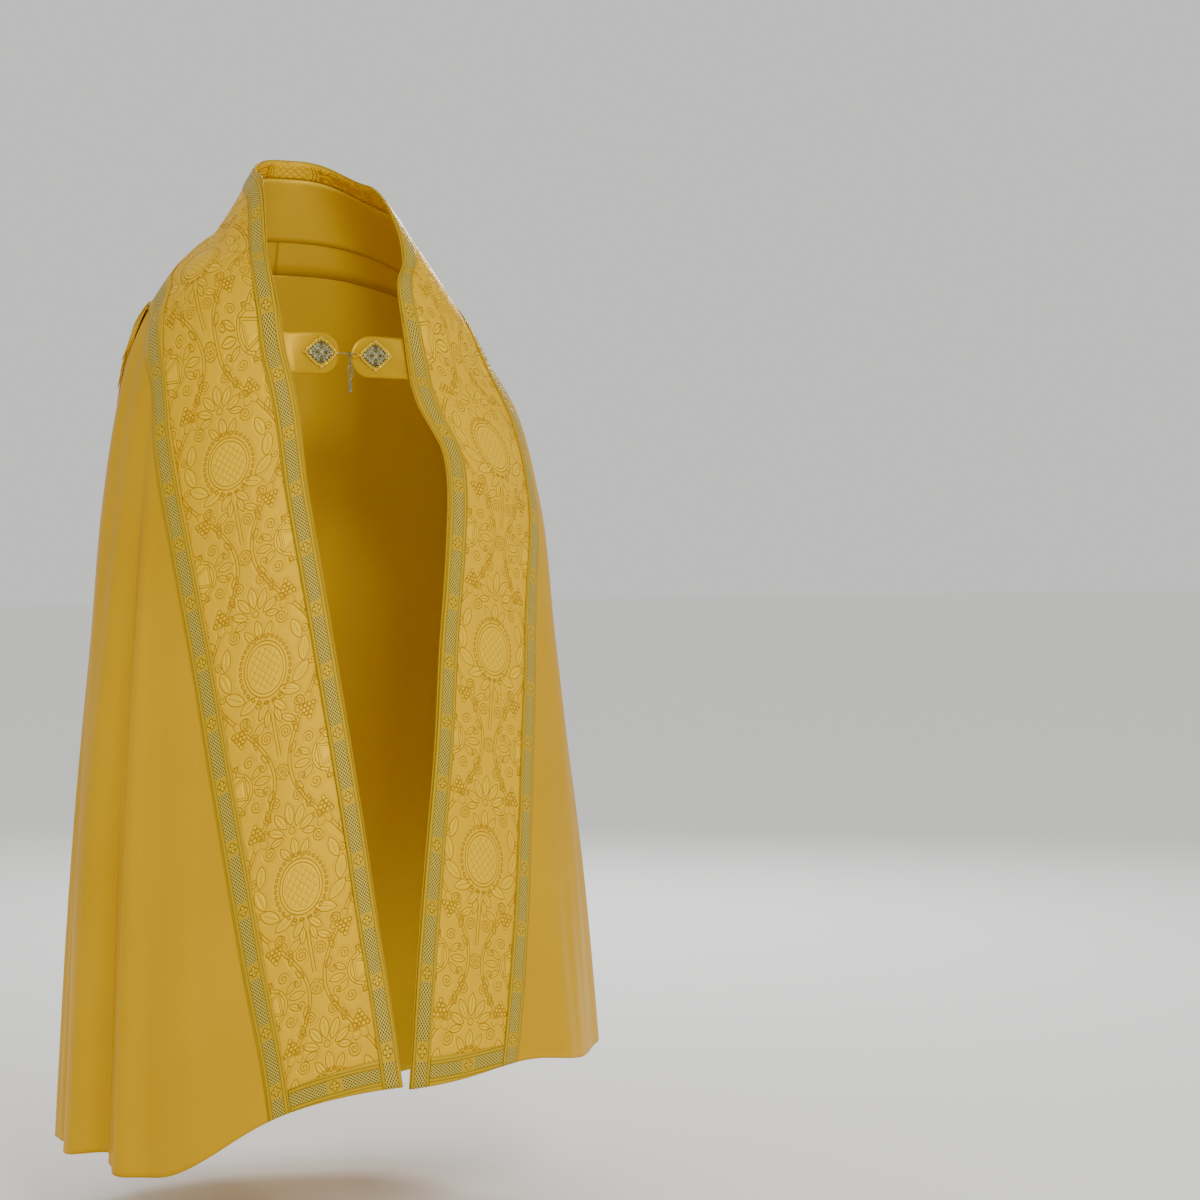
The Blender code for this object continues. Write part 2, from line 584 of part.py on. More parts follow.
def make_plate(side, name, materials, pieces):
    """A domed lozenge with a scalloped rim."""
    centre, along, out = plate_centre(side)
    spokes, reaches, rises = 40, (0.12, 0.45, 0.75, 1.0), (1.0, 0.85, 0.55, 0.0)
    rim_out = PLATE_WALL + 2 * GAP
    points = [centre + out * (PLATE_RISE + rim_out)]
    for reach, rise in zip(reaches, rises):
        for k in range(spokes):
            turn = 2 * math.pi * k / spokes
            lozenge = (abs(math.cos(turn)) ** 1.25 + abs(math.sin(turn)) ** 1.25) ** (-1 / 1.25)
            radius = reach * lozenge * (1 + 0.05 * math.cos(20 * turn) * reach**4)
            points.append(centre + along * PLATE_HALF_WIDTH * radius * math.cos(turn)
                          + np.array([0, 0, PLATE_HALF_HEIGHT * radius * math.sin(turn)])
                          + out * (PLATE_RISE * rise + rim_out))
    faces = [(0, 1 + k, 1 + (k + 1) % spokes) for k in range(spokes)]
    for r in range(len(reaches) - 1):
        a, b = 1 + r * spokes, 1 + (r + 1) * spokes
        faces += [(b + k, b + (k + 1) % spokes, a + (k + 1) % spokes, a + k) for k in range(spokes)]
    give_wall(new_object(name, mesh_of(name, points, faces), materials["metal"], pieces), PLATE_WALL)


def plate_corner(side):
    """The middle of the plate's corner nearest the opening, with a gap to it."""
    centre, along, out = plate_centre(side)
    return centre - side * along * (PLATE_HALF_WIDTH * 1.05 + 2 * GAP) + out * (PLATE_WALL / 2 + 2 * GAP)


def wire(name, points, radius, closed, materials, pieces):
    curve = bpy.data.curves.new(name, "CURVE")
    curve.dimensions = "3D"
    curve.bevel_depth = radius
    curve.bevel_resolution = 2
    curve.use_fill_caps = True
    line = curve.splines.new("POLY")
    line.points.add(len(points) - 1)
    line.use_cyclic_u = closed
    for point, place in zip(line.points, points):
        point.co = (*place, 1.0)
    return new_object(name, curve, materials["metal"], pieces)


def make_hook(materials, pieces):
    at, start = np.array(HOOK_AT), plate_corner(RIGHT)
    bowed = start + (at - start) * 0.25 + np.array([0, -0.6 * MM, 0])
    points = [start, bowed, at + np.array([-5 * MM, 0, 0])]
    for turn in range(-90, 91, 30):
        bend = np.array([math.cos(math.radians(turn)), math.sin(math.radians(turn)), 0]) * HOOK_BEND
        points.append(at + np.array([HOOK_RUN, HOOK_BEND, 0]) + bend)
    points.append(at + np.array([HOOK_RETURN, 2 * HOOK_BEND, 0]))
    wire("clasp_hook", points, HOOK_WIRE, False, materials, pieces)


def make_eye(materials, pieces):
    """A long ring from the left plate's corner to the hook, which passes round its near end."""
    near = np.array(HOOK_AT) + np.array([HOOK_RUN, HOOK_BEND, 0])
    far = plate_corner(LEFT) - np.array([EYE_WIRE, 0, 0])
    centre, half = (near + far) / 2, (far - near) / 2
    points = [centre - half * math.cos(turn) + np.array([0, 0, EYE_HALF_HEIGHT * math.sin(turn)])
              for turn in np.linspace(0, 2 * math.pi, 24, endpoint=False)]
    wire("clasp_eye", points, EYE_WIRE, True, materials, pieces)


def make_pendant(materials, pieces):
    """A small ring on the hook's wire and the length that hangs from it; both swing about that wire."""
    hinge = bpy.data.objects.new("pendant_hinge", None)
    pieces.objects.link(hinge)
    hinge.location = HOOK_AT
    bpy.ops.mesh.primitive_torus_add(
        major_radius=RING_RADIUS, minor_radius=RING_WIRE, major_segments=20, minor_segments=8,
        location=(0, 0, -RING_DROP), rotation=(0, math.pi / 2, 0))
    link = bpy.context.object
    link.name = "pendant_ring"
    link.data.materials.append(materials["metal"])
    link.data.shade_smooth()
    for collection in list(link.users_collection):
        collection.objects.unlink(link)
    pieces.objects.link(link)
    link.parent = hinge
    below = -(RING_DROP + RING_RADIUS + RING_WIRE)
    points = [(0, 0, below - PENDANT[0][0] * MM)]
    points += [(radius * MM, 0, below - (down + 0.4) * MM) for down, radius in PENDANT]
    points.append((0, 0, below - (PENDANT[-1][0] + 1.4) * MM))
    profile = bpy.data.meshes.new("clasp_pendant")
    profile.from_pydata(points, [(k, k + 1) for k in range(len(points) - 1)], [])
    drop = new_object("clasp_pendant", profile, materials["metal"], pieces)
    drop.parent = hinge
    turned = drop.modifiers.new("turn", "SCREW")
    turned.steps = turned.render_steps = 12
    turned.use_merge_vertices = True
    turned.merge_threshold = 0.00001


def main():
    pieces = start_scene()
    materials = make_materials()
    make_body(materials, pieces)
    make_orphreys(materials, pieces)
    make_galloons(materials, pieces)
    make_neck_inside(materials, pieces)
    make_hood(materials, pieces)
    make_fringe(materials, pieces)
    for side, place in ((RIGHT, "right"), (LEFT, "left")):
        make_tab(side, f"morse_tab_{place}", materials, pieces)
        make_plate(side, f"clasp_plate_{place}", materials, pieces)
    make_hook(materials, pieces)
    make_eye(materials, pieces)
    make_pendant(materials, pieces)


main()
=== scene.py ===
import math

import bmesh
import bpy
import numpy as np
from mathutils import Matrix, Vector


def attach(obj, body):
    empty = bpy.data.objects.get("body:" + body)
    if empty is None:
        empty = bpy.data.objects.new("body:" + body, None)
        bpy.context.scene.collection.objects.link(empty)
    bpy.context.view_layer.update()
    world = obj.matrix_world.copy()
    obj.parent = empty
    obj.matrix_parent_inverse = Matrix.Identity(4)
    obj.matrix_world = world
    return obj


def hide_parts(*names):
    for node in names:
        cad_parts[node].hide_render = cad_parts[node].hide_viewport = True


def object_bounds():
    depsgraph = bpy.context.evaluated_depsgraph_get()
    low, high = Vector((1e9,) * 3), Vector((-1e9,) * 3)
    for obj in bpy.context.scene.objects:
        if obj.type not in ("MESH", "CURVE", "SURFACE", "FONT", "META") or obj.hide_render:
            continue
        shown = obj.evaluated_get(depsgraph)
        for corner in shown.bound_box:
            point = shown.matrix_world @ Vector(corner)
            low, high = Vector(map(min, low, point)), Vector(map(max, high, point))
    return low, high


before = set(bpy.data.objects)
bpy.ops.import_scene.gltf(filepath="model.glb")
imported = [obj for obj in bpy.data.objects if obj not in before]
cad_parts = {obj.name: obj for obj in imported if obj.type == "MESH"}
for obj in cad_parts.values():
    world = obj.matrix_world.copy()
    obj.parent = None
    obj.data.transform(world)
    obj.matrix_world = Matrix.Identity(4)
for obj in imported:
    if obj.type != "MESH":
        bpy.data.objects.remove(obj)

cadLow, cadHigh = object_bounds()
garment, pendant = "garment", "pendant"
right, left = -1, 1
sideNames = {right: "right", left: "left"}
mm = 0.001
bandLength = 1.50  # metres, from the nape to the hem


# The drape. Angles run round each ring: 0 at the middle of the back, 180 at the middle of the front, minus on
# the wearer's right. Level -1 is the neck edge, 0 the band's seam at the back, 1 the hem. Lengths are in mm.
drape = {
    # the right back corner is less full than the left, and further round
    "rightFull": 0.45, "rightCorner": 3.1,
    "rings": {
        "level": (-1.00, -0.50, 0.00, 0.06, 0.14, 0.25, 0.45, 0.70, 1.00),
        "backY": (116, 150, 178, 194, 210, 228, 262, 310, 365),
        "backZ": (142, 62, -25, -85, -170, -300, -560, -910, -1340),
        "full": (.00, .03, .07, .10, .11, .11, .08, .05, .03),
        "rightX": (84, 144, 240, 264, 283, 303, 329, 355, 374),
        "rightZ": (108, 10, -104, -166, -250, -380, -640, -965, -1312),
        "leftX": (86, 166, 236, 273, 316, 350, 376, 407, 431),
        "leftZ": (100, -2, -104, -164, -238, -366, -590, -880, -1205),
        "frontRightY": (96, 160, 200, 210, 226, 250, 290, 345, 385),
        "frontRightZ": (60, -30, -118, -185, -280, -410, -650, -930, -1180),
        "frontLeftY": (92, 122, 152, 165, 205, 244, 278, 305, 355),
        "frontLeftZ": (52, -30, -112, -172, -262, -385, -610, -890, -1192)},
    # metres from the nape, then angle and level of the free edge and of the sewn edge
    "band": {
        right: ((0.00, 0, -1.00, 0, 0), (0.10, 60, -1.00, 24, 0), (0.20, 103, -0.93, 49, 0),
                (0.30, 128, -0.54, 78, 0), (0.36, 139, -0.24, 91, .045), (0.44, 150.5, -0.01, 104, .10),
                (0.53, 157, .08, 111.5, .18), (0.70, 161.5, .215, 123, .305),
                (0.85, 165.5, .335, 130.5, .415), (1.00, 169, .46, 136, .53), (1.16, 172, .60, 141, .66),
                (1.30, 174, .73, 145, .79), (1.42, 176, .87, 148.5, .92), (bandLength, 177.5, 1, 150, 1)),
        left: ((0.00, 0, -1.00, 0, 0), (0.10, 60, -1.00, 25, 0), (0.20, 102, -0.93, 51, 0),
               (0.30, 140, -0.52, 80, 0), (0.37, 151, -0.22, 101, .03), (0.45, 160, .02, 114, .085),
               (0.55, 163, .11, 116, .16), (0.65, 158.5, .19, 119, .245), (0.78, 162, .30, 129, .36),
               (0.93, 166, .43, 135.5, .485), (1.08, 169, .56, 141, .605), (1.23, 172.5, .695, 146, .75),
               (1.38, 176, .845, 151, .895), (bandLength, 179, 1, 155, 1))},
    # angle at the shoulder and the hem, half width, mm out at the hem, first level, mm lower at the hem
    "folds": ((-112, -113, 6, 16, .18, 8), (-118, -129, 12, 10, .25, 42), (-104, -103, 5, -26, -.05, -10),
              (-86, -90, 9, 12, .25, 0), (-52, -58, 8, 14, .35, 0), (-40, -44, 5, -16, .35, 0),
              (-32, -34, 6, 10, .40, 0), (-24, -26, 5, -18, .38, 0), (8, 12, 14, -10, .50, 0),
              (38, 40, 12, 12, .40, 0), (52, 56, 5, -20, .38, 0), (60, 66, 5, 16, .38, 0),
              (78, 82, 8, -12, .45, 0), (92, 98, 12, 10, .35, 0), (112, 120, 8, -9, .50, 0),
              (126, 135, 9, 7, .50, 0), (150, 152, 12, 0, .60, -20)),
    # softer folds between them: angle top and hem, half width, mm, first level, wander in degrees, waves
    "soft": ((-119, -123, 3.2, -5, .34, 1.6, 1.4), (-126, -134, 3.5, 4, .40, 1.2, 1.2),
             (-105, -110, 2.3, -14, .12, 0.3, 1.2), (-111, -117, 2.6, 8, .16, 0.3, 1.2),
             (54, 57.5, 2.0, -9, .24, 0.6, 1.0), (61, 66, 1.6, 6, .24, 0.6, 1.1),
             (-25, -27, 2.2, -8, .25, 0.6, 1.0), (-93, -96, 3.8, 6, .30, 1.5, 1.7),
             (-74, -80, 4.5, -12, .20, 1.8, 1.1), (-66, -70, 3.0, 9, .34, 1.2, 1.6),
             (-47, -50, 2.6, 7, .40, 1.0, 1.9), (-36, -39, 2.2, -5, .40, 1.0, 1.5),
             (-28, -30, 2.4, 7, .38, 0.8, 1.3), (-17, -19, 3.2, 7, .40, 1.4, 1.2),
             (-8, -9, 4.0, -6, .42, 1.5, 1.0), (2, 2, 4.0, 5, .42, 1.6, 1.3),
             (17, 19, 4.0, -7, .40, 1.4, 1.1), (27, 29, 3.4, 5, .42, 1.2, 1.5),
             (46, 49, 3.0, 6, .38, 1.0, 1.4), (56, 61, 2.2, 9, .38, 0.8, 1.2),
             (64, 70, 3.0, -5, .40, 1.0, 1.6), (71, 76, 4.2, 6, .34, 1.2, 1.3),
             (86, 90, 4.6, -7, .32, 1.5, 1.2), (79, 83, 3.2, 5, .28, 0.9, 1.2),
             (94, 100, 5.0, 6, .22, 1.1, 1.4), (104, 112, 4.0, -4, .30, 1.1, 1.4),
             (113, 121, 4.0, 4, .35, 1.2, 1.2), (123, 132, 3.6, -4, .36, 1.0, 1.3))}


def unit(vectors):
    return vectors / np.linalg.norm(vectors, axis=-1, keepdims=True)


def throughRows(places, values, at):
    # a smooth curve through a table's rows that never overshoots them
    places, values, at = (np.asarray(v, float) for v in (places, values, at))
    step = np.diff(places)
    rise = np.diff(values) / step
    slope = np.empty(len(places))
    slope[0], slope[-1] = rise[0], rise[-1]
    mixed = (rise[:-1] * step[1:] + rise[1:] * step[:-1]) / (step[:-1] + step[1:])
    limit = 3 * np.minimum(np.abs(rise[:-1]), np.abs(rise[1:]))
    slope[1:-1] = np.where(rise[:-1] * rise[1:] <= 0, 0, np.sign(rise[1:]) * np.minimum(np.abs(mixed), limit))
    row = np.clip(np.searchsorted(places, at) - 1, 0, len(step) - 1)
    t = (at - places[row]) / step[row]
    return ((2 * t**3 - 3 * t**2 + 1) * values[row] + (t**3 - 2 * t**2 + t) * step[row] * slope[row]
            + (3 * t**2 - 2 * t**3) * values[row + 1] + (t**3 - t**2) * step[row] * slope[row + 1])


# the rings are read from fine tables, which is quicker than the curve itself
fineLevels = np.linspace(-1.02, 1.02, 4081)
ringTables = {name: throughRows(drape["rings"]["level"], values, fineLevels)
              for name, values in drape["rings"].items()}


def ring(name, level):
    return np.interp(level, fineLevels, ringTables[name])


def bareCloth(angle, level):
    turn = np.radians(np.abs(angle))
    onLeft, atBack = angle > 0, np.cos(turn) >= 0
    atFront = np.where(onLeft, ring("frontLeftY", level), ring("frontRightY", level))
    frontZ = np.where(onLeft, ring("frontLeftZ", level), ring("frontRightZ", level))
    deep = np.where(atBack, ring("backY", level), atFront)
    endZ = np.where(atBack, ring("backZ", level), frontZ)
    across = np.where(onLeft, ring("leftX", level), ring("rightX", level))
    sideZ = np.where(onLeft, ring("leftZ", level), ring("rightZ", level))
    full = np.where(atBack, ring("full", level) * np.where(onLeft, 1, drape["rightFull"]), 0)
    corner = np.where(onLeft, turn, math.pi / 2 * (turn * 2 / math.pi) ** drape["rightCorner"])
    grow = 1 + full * np.sin(2 * corner) ** 2
    toSide = np.where(atBack, np.abs(np.sin(turn)) ** 3, np.sin(turn) ** 2)
    x = np.where(onLeft, 1, -1) * across * grow * np.sin(turn)
    return np.stack([x, deep * grow * np.cos(turn), endZ + (sideZ - endZ) * toSide], axis=-1) * mm


def outward(angle, level):
    step = 2e-3
    roundIt = bareCloth(angle + 25 * step, level) - bareCloth(angle - 25 * step, level)
    downIt = bareCloth(angle, level + step) - bareCloth(angle, level - step)
    return unit(np.cross(roundIt, downIt))


def foldShape(angle, level):
    out, low = np.zeros_like(angle), np.zeros_like(angle)
    for top, hem, half, amount, first, drop in drape["folds"]:
        run = np.clip((level - first) / (1 - first), 0, 1)
        grown = 0.6 * run + 0.4 * run**2 * (3 - 2 * run)
        apart = (angle - top - (hem - top) * np.clip(level, 0, 1)) / half
        out += amount * mm * grown * np.exp(-(apart**2))
        low += drop * mm * grown**2 * np.exp(-((apart / 1.3) ** 2))
    return out, low


def softFolds(angle, level):
    # uneven troughs and ridges, each with a steep side and an easy one, that wander on their way down
    out = np.zeros_like(angle)
    for k, (top, hem, half, amount, first, wander, waves) in enumerate(drape["soft"]):
        run = np.clip((level - first) / (1 - first), 0, 1)
        grown = run * (2 - run) * (0.8 + 0.2 * np.sin(7 * level + 1.7 * k))
        sway = wander * np.sin(2 * math.pi * waves * level + 2.1 * k)
        centre = top + (hem - top) * np.clip(level, 0, 1) + sway
        apart = (angle - centre) / half
        lean = 1 + 0.35 * math.cos(3.1 * k) * np.tanh(apart)
        out += amount * mm * grown * np.exp(-((apart * lean) ** 2))
    return out


def ripples(angle, level):
    # slight unevenness of hung cloth, a millimetre or so
    a = np.radians(angle)
    wave = (np.sin(9 * a + 3.1 * level + 0.6) * np.sin(5.3 * level + 2 * a)
            + 0.7 * np.sin(17 * a - 4.3 * level + 1.9) * np.sin(9.1 * level - 3 * a + 0.7)
            + 0.5 * np.sin(31 * a + 6.7 * level) * np.sin(3.7 * level + 5 * a + 2.2))
    return wave * 0.8 * mm


def cloth(angle, level, lift=0.0, folded=True, soft=0.0):
    angle, level = np.broadcast_arrays(np.asarray(angle, float), np.asarray(level, float))
    points, normals = bareCloth(angle, level), outward(angle, level)
    if folded:
        out, low = foldShape(angle, level)
        if np.any(soft):
            out = out + soft * softFolds(angle, level)
        points = points + normals * out[..., None]
        points[..., 2] -= low
    return points + normals * np.broadcast_to(lift, angle.shape)[..., None]


# Meshes from grids of points, with the cloth's own measures as their UV map

def gridMesh(name, points, uvs, closedRound=False):
    rows, columns = points.shape[:2]
    mesh = bpy.data.meshes.new(name)
    mesh.vertices.add(rows * columns)
    mesh.vertices.foreach_set("co", points.reshape(-1).astype(np.float32))
    i, j = np.meshgrid(np.arange(rows - 1), np.arange(columns if closedRound else columns - 1), indexing="ij")
    i, j = i.ravel(), j.ravel()
    corner = np.stack([i * columns + j, (i + 1) * columns + j,
                       (i + 1) * columns + (j + 1) % columns, i * columns + (j + 1) % columns], axis=1)
    mesh.loops.add(corner.size)
    mesh.loops.foreach_set("vertex_index", corner.ravel().astype(np.int32))
    mesh.polygons.add(len(corner))
    mesh.polygons.foreach_set("loop_start", np.arange(0, corner.size, 4, dtype=np.int32))
    mesh.update(calc_edges=True)
    if uvs is not None:
        layer = mesh.uv_layers.new(name="weave")
        layer.data.foreach_set("uv", uvs.reshape(-1, 2)[corner.ravel()].ravel().astype(np.float32))
    mesh.polygons.foreach_set("use_smooth", np.ones(len(corner), dtype=bool))
    mesh.validate()
    return mesh


def newPiece(name, mesh, *materials):
    piece = bpy.data.objects.new(name.replace(" ", "_"), mesh)
    bpy.context.scene.collection.objects.link(piece)
    for material in materials:
        mesh.materials.append(material)
    return piece


def applyAll(piece):
    graph = bpy.context.evaluated_depsgraph_get()
    made = bpy.data.meshes.new_from_object(piece.evaluated_get(graph))
    old = piece.data
    piece.modifiers.clear()
    piece.data = made
    bpy.data.meshes.remove(old)
    return piece


def sheetPiece(name, points, uvs, thickness, *materials, closedRound=False):
    # a sheet with a wall; a second material is for its inside
    piece = newPiece(name, gridMesh(name, points, uvs, closedRound), *materials)
    wall = piece.modifiers.new("wall", "SOLIDIFY")
    wall.thickness = thickness
    wall.offset = -1
    wall.material_offset = len(materials) - 1
    return applyAll(piece)


# Materials

def addNode(tree, kind, inputs, **settings):
    # inputs gives each input, by its name or place, a value or the socket that feeds it
    node = tree.nodes.new(kind)
    for name, value in settings.items():
        setattr(node, name, value)
    for place, value in inputs.items():
        if isinstance(value, bpy.types.NodeSocket):
            tree.links.new(value, node.inputs[place])
        else:
            node.inputs[place].default_value = value
    return node


class Reading:
    # a number in a node tree; sums on it add Math nodes

    def __init__(self, tree, socket):
        self.tree, self.socket = tree, socket

    def do(self, kind, *others, clamp=False):
        values = [value.socket if isinstance(value, Reading) else value for value in (self, *others)]
        node = addNode(self.tree, "ShaderNodeMath", dict(enumerate(values)), operation=kind, use_clamp=clamp)
        return Reading(self.tree, node.outputs[0])

    def __add__(self, other):
        return self.do("ADD", other)

    def __sub__(self, other):
        return self.do("SUBTRACT", other)

    def __rsub__(self, other):
        return self.do("MULTIPLY_ADD", -1, other)

    def __mul__(self, other):
        return self.do("MULTIPLY", other)

    def __truediv__(self, other):
        return self.do("DIVIDE", other)

    def size(self):
        return self.do("ABSOLUTE")

    def least(self, *others):
        least = self
        for other in others:
            least = least.do("MINIMUM", other)
        return least

    def most(self, other):
        return self.do("MAXIMUM", other)

    def fold(self, period):
        return self.do("PINGPONG", period)

    def sine(self):
        return self.do("SINE")

    def line(self, half):
        # 1 on a line of this half width, fading to 0 beyond it
        return (self / -half + 2).do("MINIMUM", 1.0, clamp=True)


class Spot:
    # a place on the cloth, in mm

    def __init__(self, tree, x, y):
        self.tree, self.x, self.y = tree, x, y
        self.socket = addNode(tree, "ShaderNodeCombineXYZ", {0: x.socket, 1: y.socket}).outputs[0]

    def measure(self, kind, x, y):
        node = addNode(self.tree, "ShaderNodeVectorMath", {0: self.socket, 1: (x, y, 0)}, operation=kind)
        return Reading(self.tree, node.outputs["Value"])

    def away(self, x, y):
        return self.measure("DISTANCE", x, y)

    def along(self, x, y, turn):
        # how far past (x, y) in the direction of turn, in degrees
        c, s = math.cos(math.radians(turn)), math.sin(math.radians(turn))
        return self.measure("DOT_PRODUCT", c, s) - (x * c + y * s)

    def bearing(self, x, y, turn=0):
        return self.along(x, y, turn + 90).do("ARCTAN2", self.along(x, y, turn))

    def lobes(self, x, y, count, deep, inner, turn=0):
        # how far from (x, y) the edge of a flower or a lobed leaf is
        return (self.bearing(x, y, turn) * (count / 2)).do("COSINE").size() * deep + inner

    def leaf(self, x, y, turn, halfLength, halfWidth):
        radius = (halfLength**2 + halfWidth**2) / (2 * halfWidth)
        shift = radius - halfWidth
        c, s = math.cos(math.radians(turn + 90)), math.sin(math.radians(turn + 90))
        one = self.away(x + shift * c, y + shift * s)
        return one.most(self.away(x - shift * c, y - shift * s)) - radius

    def midrib(self, x, y, turn, half):
        return self.along(x, y, turn + 90).size().most(self.along(x, y, turn).size() - half)

    def scroll(self, x, y, radius, start, hand, pitch):
        out = self.away(x, y)
        gap = (out / pitch - self.bearing(x, y) * (hand / (2 * math.pi)) + start).do("FRACT") - 0.5
        return (gap.size() * pitch).most(out - radius)


def newMaterial(name, colour, roughness, metallic=0.0, **others):
    material = bpy.data.materials.new(name)
    material.use_nodes = True
    shader = material.node_tree.nodes["Principled BSDF"]
    shader.inputs["Base Color"].default_value = (*colour, 1)
    shader.inputs["Roughness"].default_value = roughness
    shader.inputs["Metallic"].default_value = metallic
    for key, value in others.items():
        shader.inputs[key.replace("_", " ")].default_value = value
    return material, material.node_tree


def finished(material, colour, height, distance, strength, roughness=None):
    # the worked-out colour, relief and roughness go to the material's shader
    tree = material.node_tree
    shader = tree.nodes["Principled BSDF"]
    bump = addNode(tree, "ShaderNodeBump",
                   {"Height": height.socket, "Distance": distance, "Strength": strength})
    tree.links.new(colour, shader.inputs["Base Color"])
    tree.links.new(bump.outputs[0], shader.inputs["Normal"])
    if roughness is not None:
        tree.links.new(roughness.socket, shader.inputs["Roughness"])
    return material


def uvSpot(tree, perMetre=1000.0):
    uv = addNode(tree, "ShaderNodeUVMap", {}, uv_map="weave")
    apart = addNode(tree, "ShaderNodeSeparateXYZ", {0: uv.outputs[0]})
    return [Reading(tree, apart.outputs[k]) * perMetre for k in (0, 1)]


def noise(tree, scale, detail=2.0, stretch=(1, 1, 1), onUv=False):
    if onUv:
        place = addNode(tree, "ShaderNodeUVMap", {}, uv_map="weave").outputs[0]
    else:
        place = addNode(tree, "ShaderNodeTexCoord", {}).outputs["Object"]
    mapping = addNode(tree, "ShaderNodeMapping", {"Vector": place, "Scale": stretch})
    texture = addNode(tree, "ShaderNodeTexNoise",
                      {"Vector": mapping.outputs[0], "Scale": scale, "Detail": detail})
    return Reading(tree, texture.outputs[0])


def mixed(factor, first, second):
    # each of first and second is a colour or a socket
    first, second = ((*value, 1) if isinstance(value, tuple) else value for value in (first, second))
    inputs = {0: factor.socket, 6: first, 7: second}
    return addNode(factor.tree, "ShaderNodeMix", inputs, data_type="RGBA").outputs[2]


colours = {
    "satin": (0.71, 0.40, 0.002), "satinDeep": (0.60, 0.325, 0.002),
    # the lining is lighter than the outer satin: partly its own colour, partly painted light that lifts the
    # shade inside the cope
    "satinLining": (0.76, 0.49, 0.020), "liningDeep": (0.65, 0.41, 0.015),
    "damask": (0.82, 0.475, 0.001), "damaskDeep": (0.74, 0.42, 0.001),
    "damaskLine": (0.33, 0.145, 0.002), "damaskFigure": (0.91, 0.55, 0.003),
    "mustard": (0.47, 0.275, 0.002), "mustardLight": (0.72, 0.44, 0.004),
    "green": (0.11, 0.086, 0.012), "silver": (0.88, 0.64, 0.080), "twist": (0.12, 0.085, 0.008),
    "fringe": (0.95, 0.59, 0.020), "fringeDark": (0.38, 0.20, 0.004),
    "brightGold": (1.00, 0.70, 0.070), "silverMetal": (0.68, 0.65, 0.370),
    "tarnish": (0.17, 0.135, 0.060), "steel": (0.33, 0.315, 0.170),
    # the tab's colours are a darker copy of the satin: painted shade
    "tab": (0.56, 0.32, 0.003), "tabDeep": (0.45, 0.25, 0.003)}
shine = (1.0, 0.80, 0.34, 1)  # the threads' own colour in their shine


def satin(name, light, deep, roughness=0.36):
    material, tree = newMaterial(name, light, roughness, 0.30, Anisotropic=0.4,
                                 Specular_IOR_Level=0.08, Specular_Tint=shine)
    cloudy = noise(tree, 5.0, 3.0)
    threads = noise(tree, 90.0, 2.0, (14, 1, 1), onUv=True)
    creases = noise(tree, 16.0, 2.0, (1, 1, 0.3))
    shade = (cloudy * 0.55 + threads * 0.45).do("MULTIPLY_ADD", 2.2, -0.6, clamp=True)
    return finished(material, mixed(shade, deep, light), threads * 0.12 + creases * 0.8, 0.0016, 0.5,
                    threads * 0.16 + (roughness - 0.08))


# The damask's repeat is an ogee lattice of vine stems, with a pomegranate in one frame and a cross in the
# next. Places are in mm from the middle of a frame. A leaf has its place, turn, half length and half width,
# and a scroll its place, radius, start and hand.

damask = {"halfWide": 95.0, "halfHigh": 150.0, "stemMiddle": 47.5, "stemSwing": 35.6, "line": 0.48,
          "finer": 0.2}  # how much finer a vein is than an outline


def addLeaves(place, lines, solid, leaves, ribShare):
    for leaf in leaves:
        edge = place.leaf(*leaf)
        solid = solid.least(edge)
        rib = place.midrib(*leaf[:3], leaf[3] * ribShare)
        lines = lines.least(edge.size(), rib + damask["finer"])
    return lines, solid


def pomegranateLines(place):
    squat = Spot(place.tree, place.x, place.y / 1.22)  # in which the fruit is round
    fromFruit = squat.away(0, -6)
    body = fromFruit - 31
    net = (place.x + place.y * 0.8).fold(5).least((place.x - place.y * 0.8).fold(5))
    lines = body.size().least((body + 4).size(), net.most(body + 7) + 0.25)
    fromPearls = fromFruit - 37  # a row of pearls round the fruit
    around = place.y.do("ARCTAN2", place.x).fold(math.pi / 30) * 30
    lines = lines.least(((fromPearls * fromPearls + around * around).do("SQRT") - 1.7).size())
    lines, solid = addLeaves(place, lines, body, (
        (0, 47, 90, 13, 6), (14, 42, 58, 12, 5), (30, -47, -22, 17, 7.5), (50, -30, 36, 17, 8),
        (60, -2, 74, 17, 8), (54, 27, 106, 15, 7), (12, -62, -50, 13, 5.5), (0, 92, 90, 15, 6.5),
        (14, 86, 60, 14, 6), (23, 74, 28, 13, 5.5), (24, 62, -12, 10, 4.5), (8, -74, -78, 12, 4.5),
        (22, -84, -35, 12, 5)), 0.62)
    lines = lines.least(*(place.scroll(*row, 4.0) for row in (
        (36, 52, 9, .1, 1), (17, 112, 9, .3, -1), (14, -100, 9, .6, 1), (40, -68, 9, .4, -1),
        (66, 22, 6, .2, 1), (69, -22, 6, .5, -1), (17, -52, 5, .4, 1), (42, 76, 6, .3, 1))))
    for x, y, petals in ((32, 96, 5), (31, -92, 5), (76, 42, 6), (74, -46, 6)):  # small blossoms
        out = place.away(x, y)
        edge = out - place.lobes(x, y, petals, 2.6, 3.6)
        solid = solid.least(edge)
        lines = lines.least(edge.size(), (out - 1.6).size())
    stem = (place.x - 2.4).size().most((place.y.size() - 128).most(place.y + 70))
    return lines.least((place.away(0, 70) - 4.5).size(), stem), solid


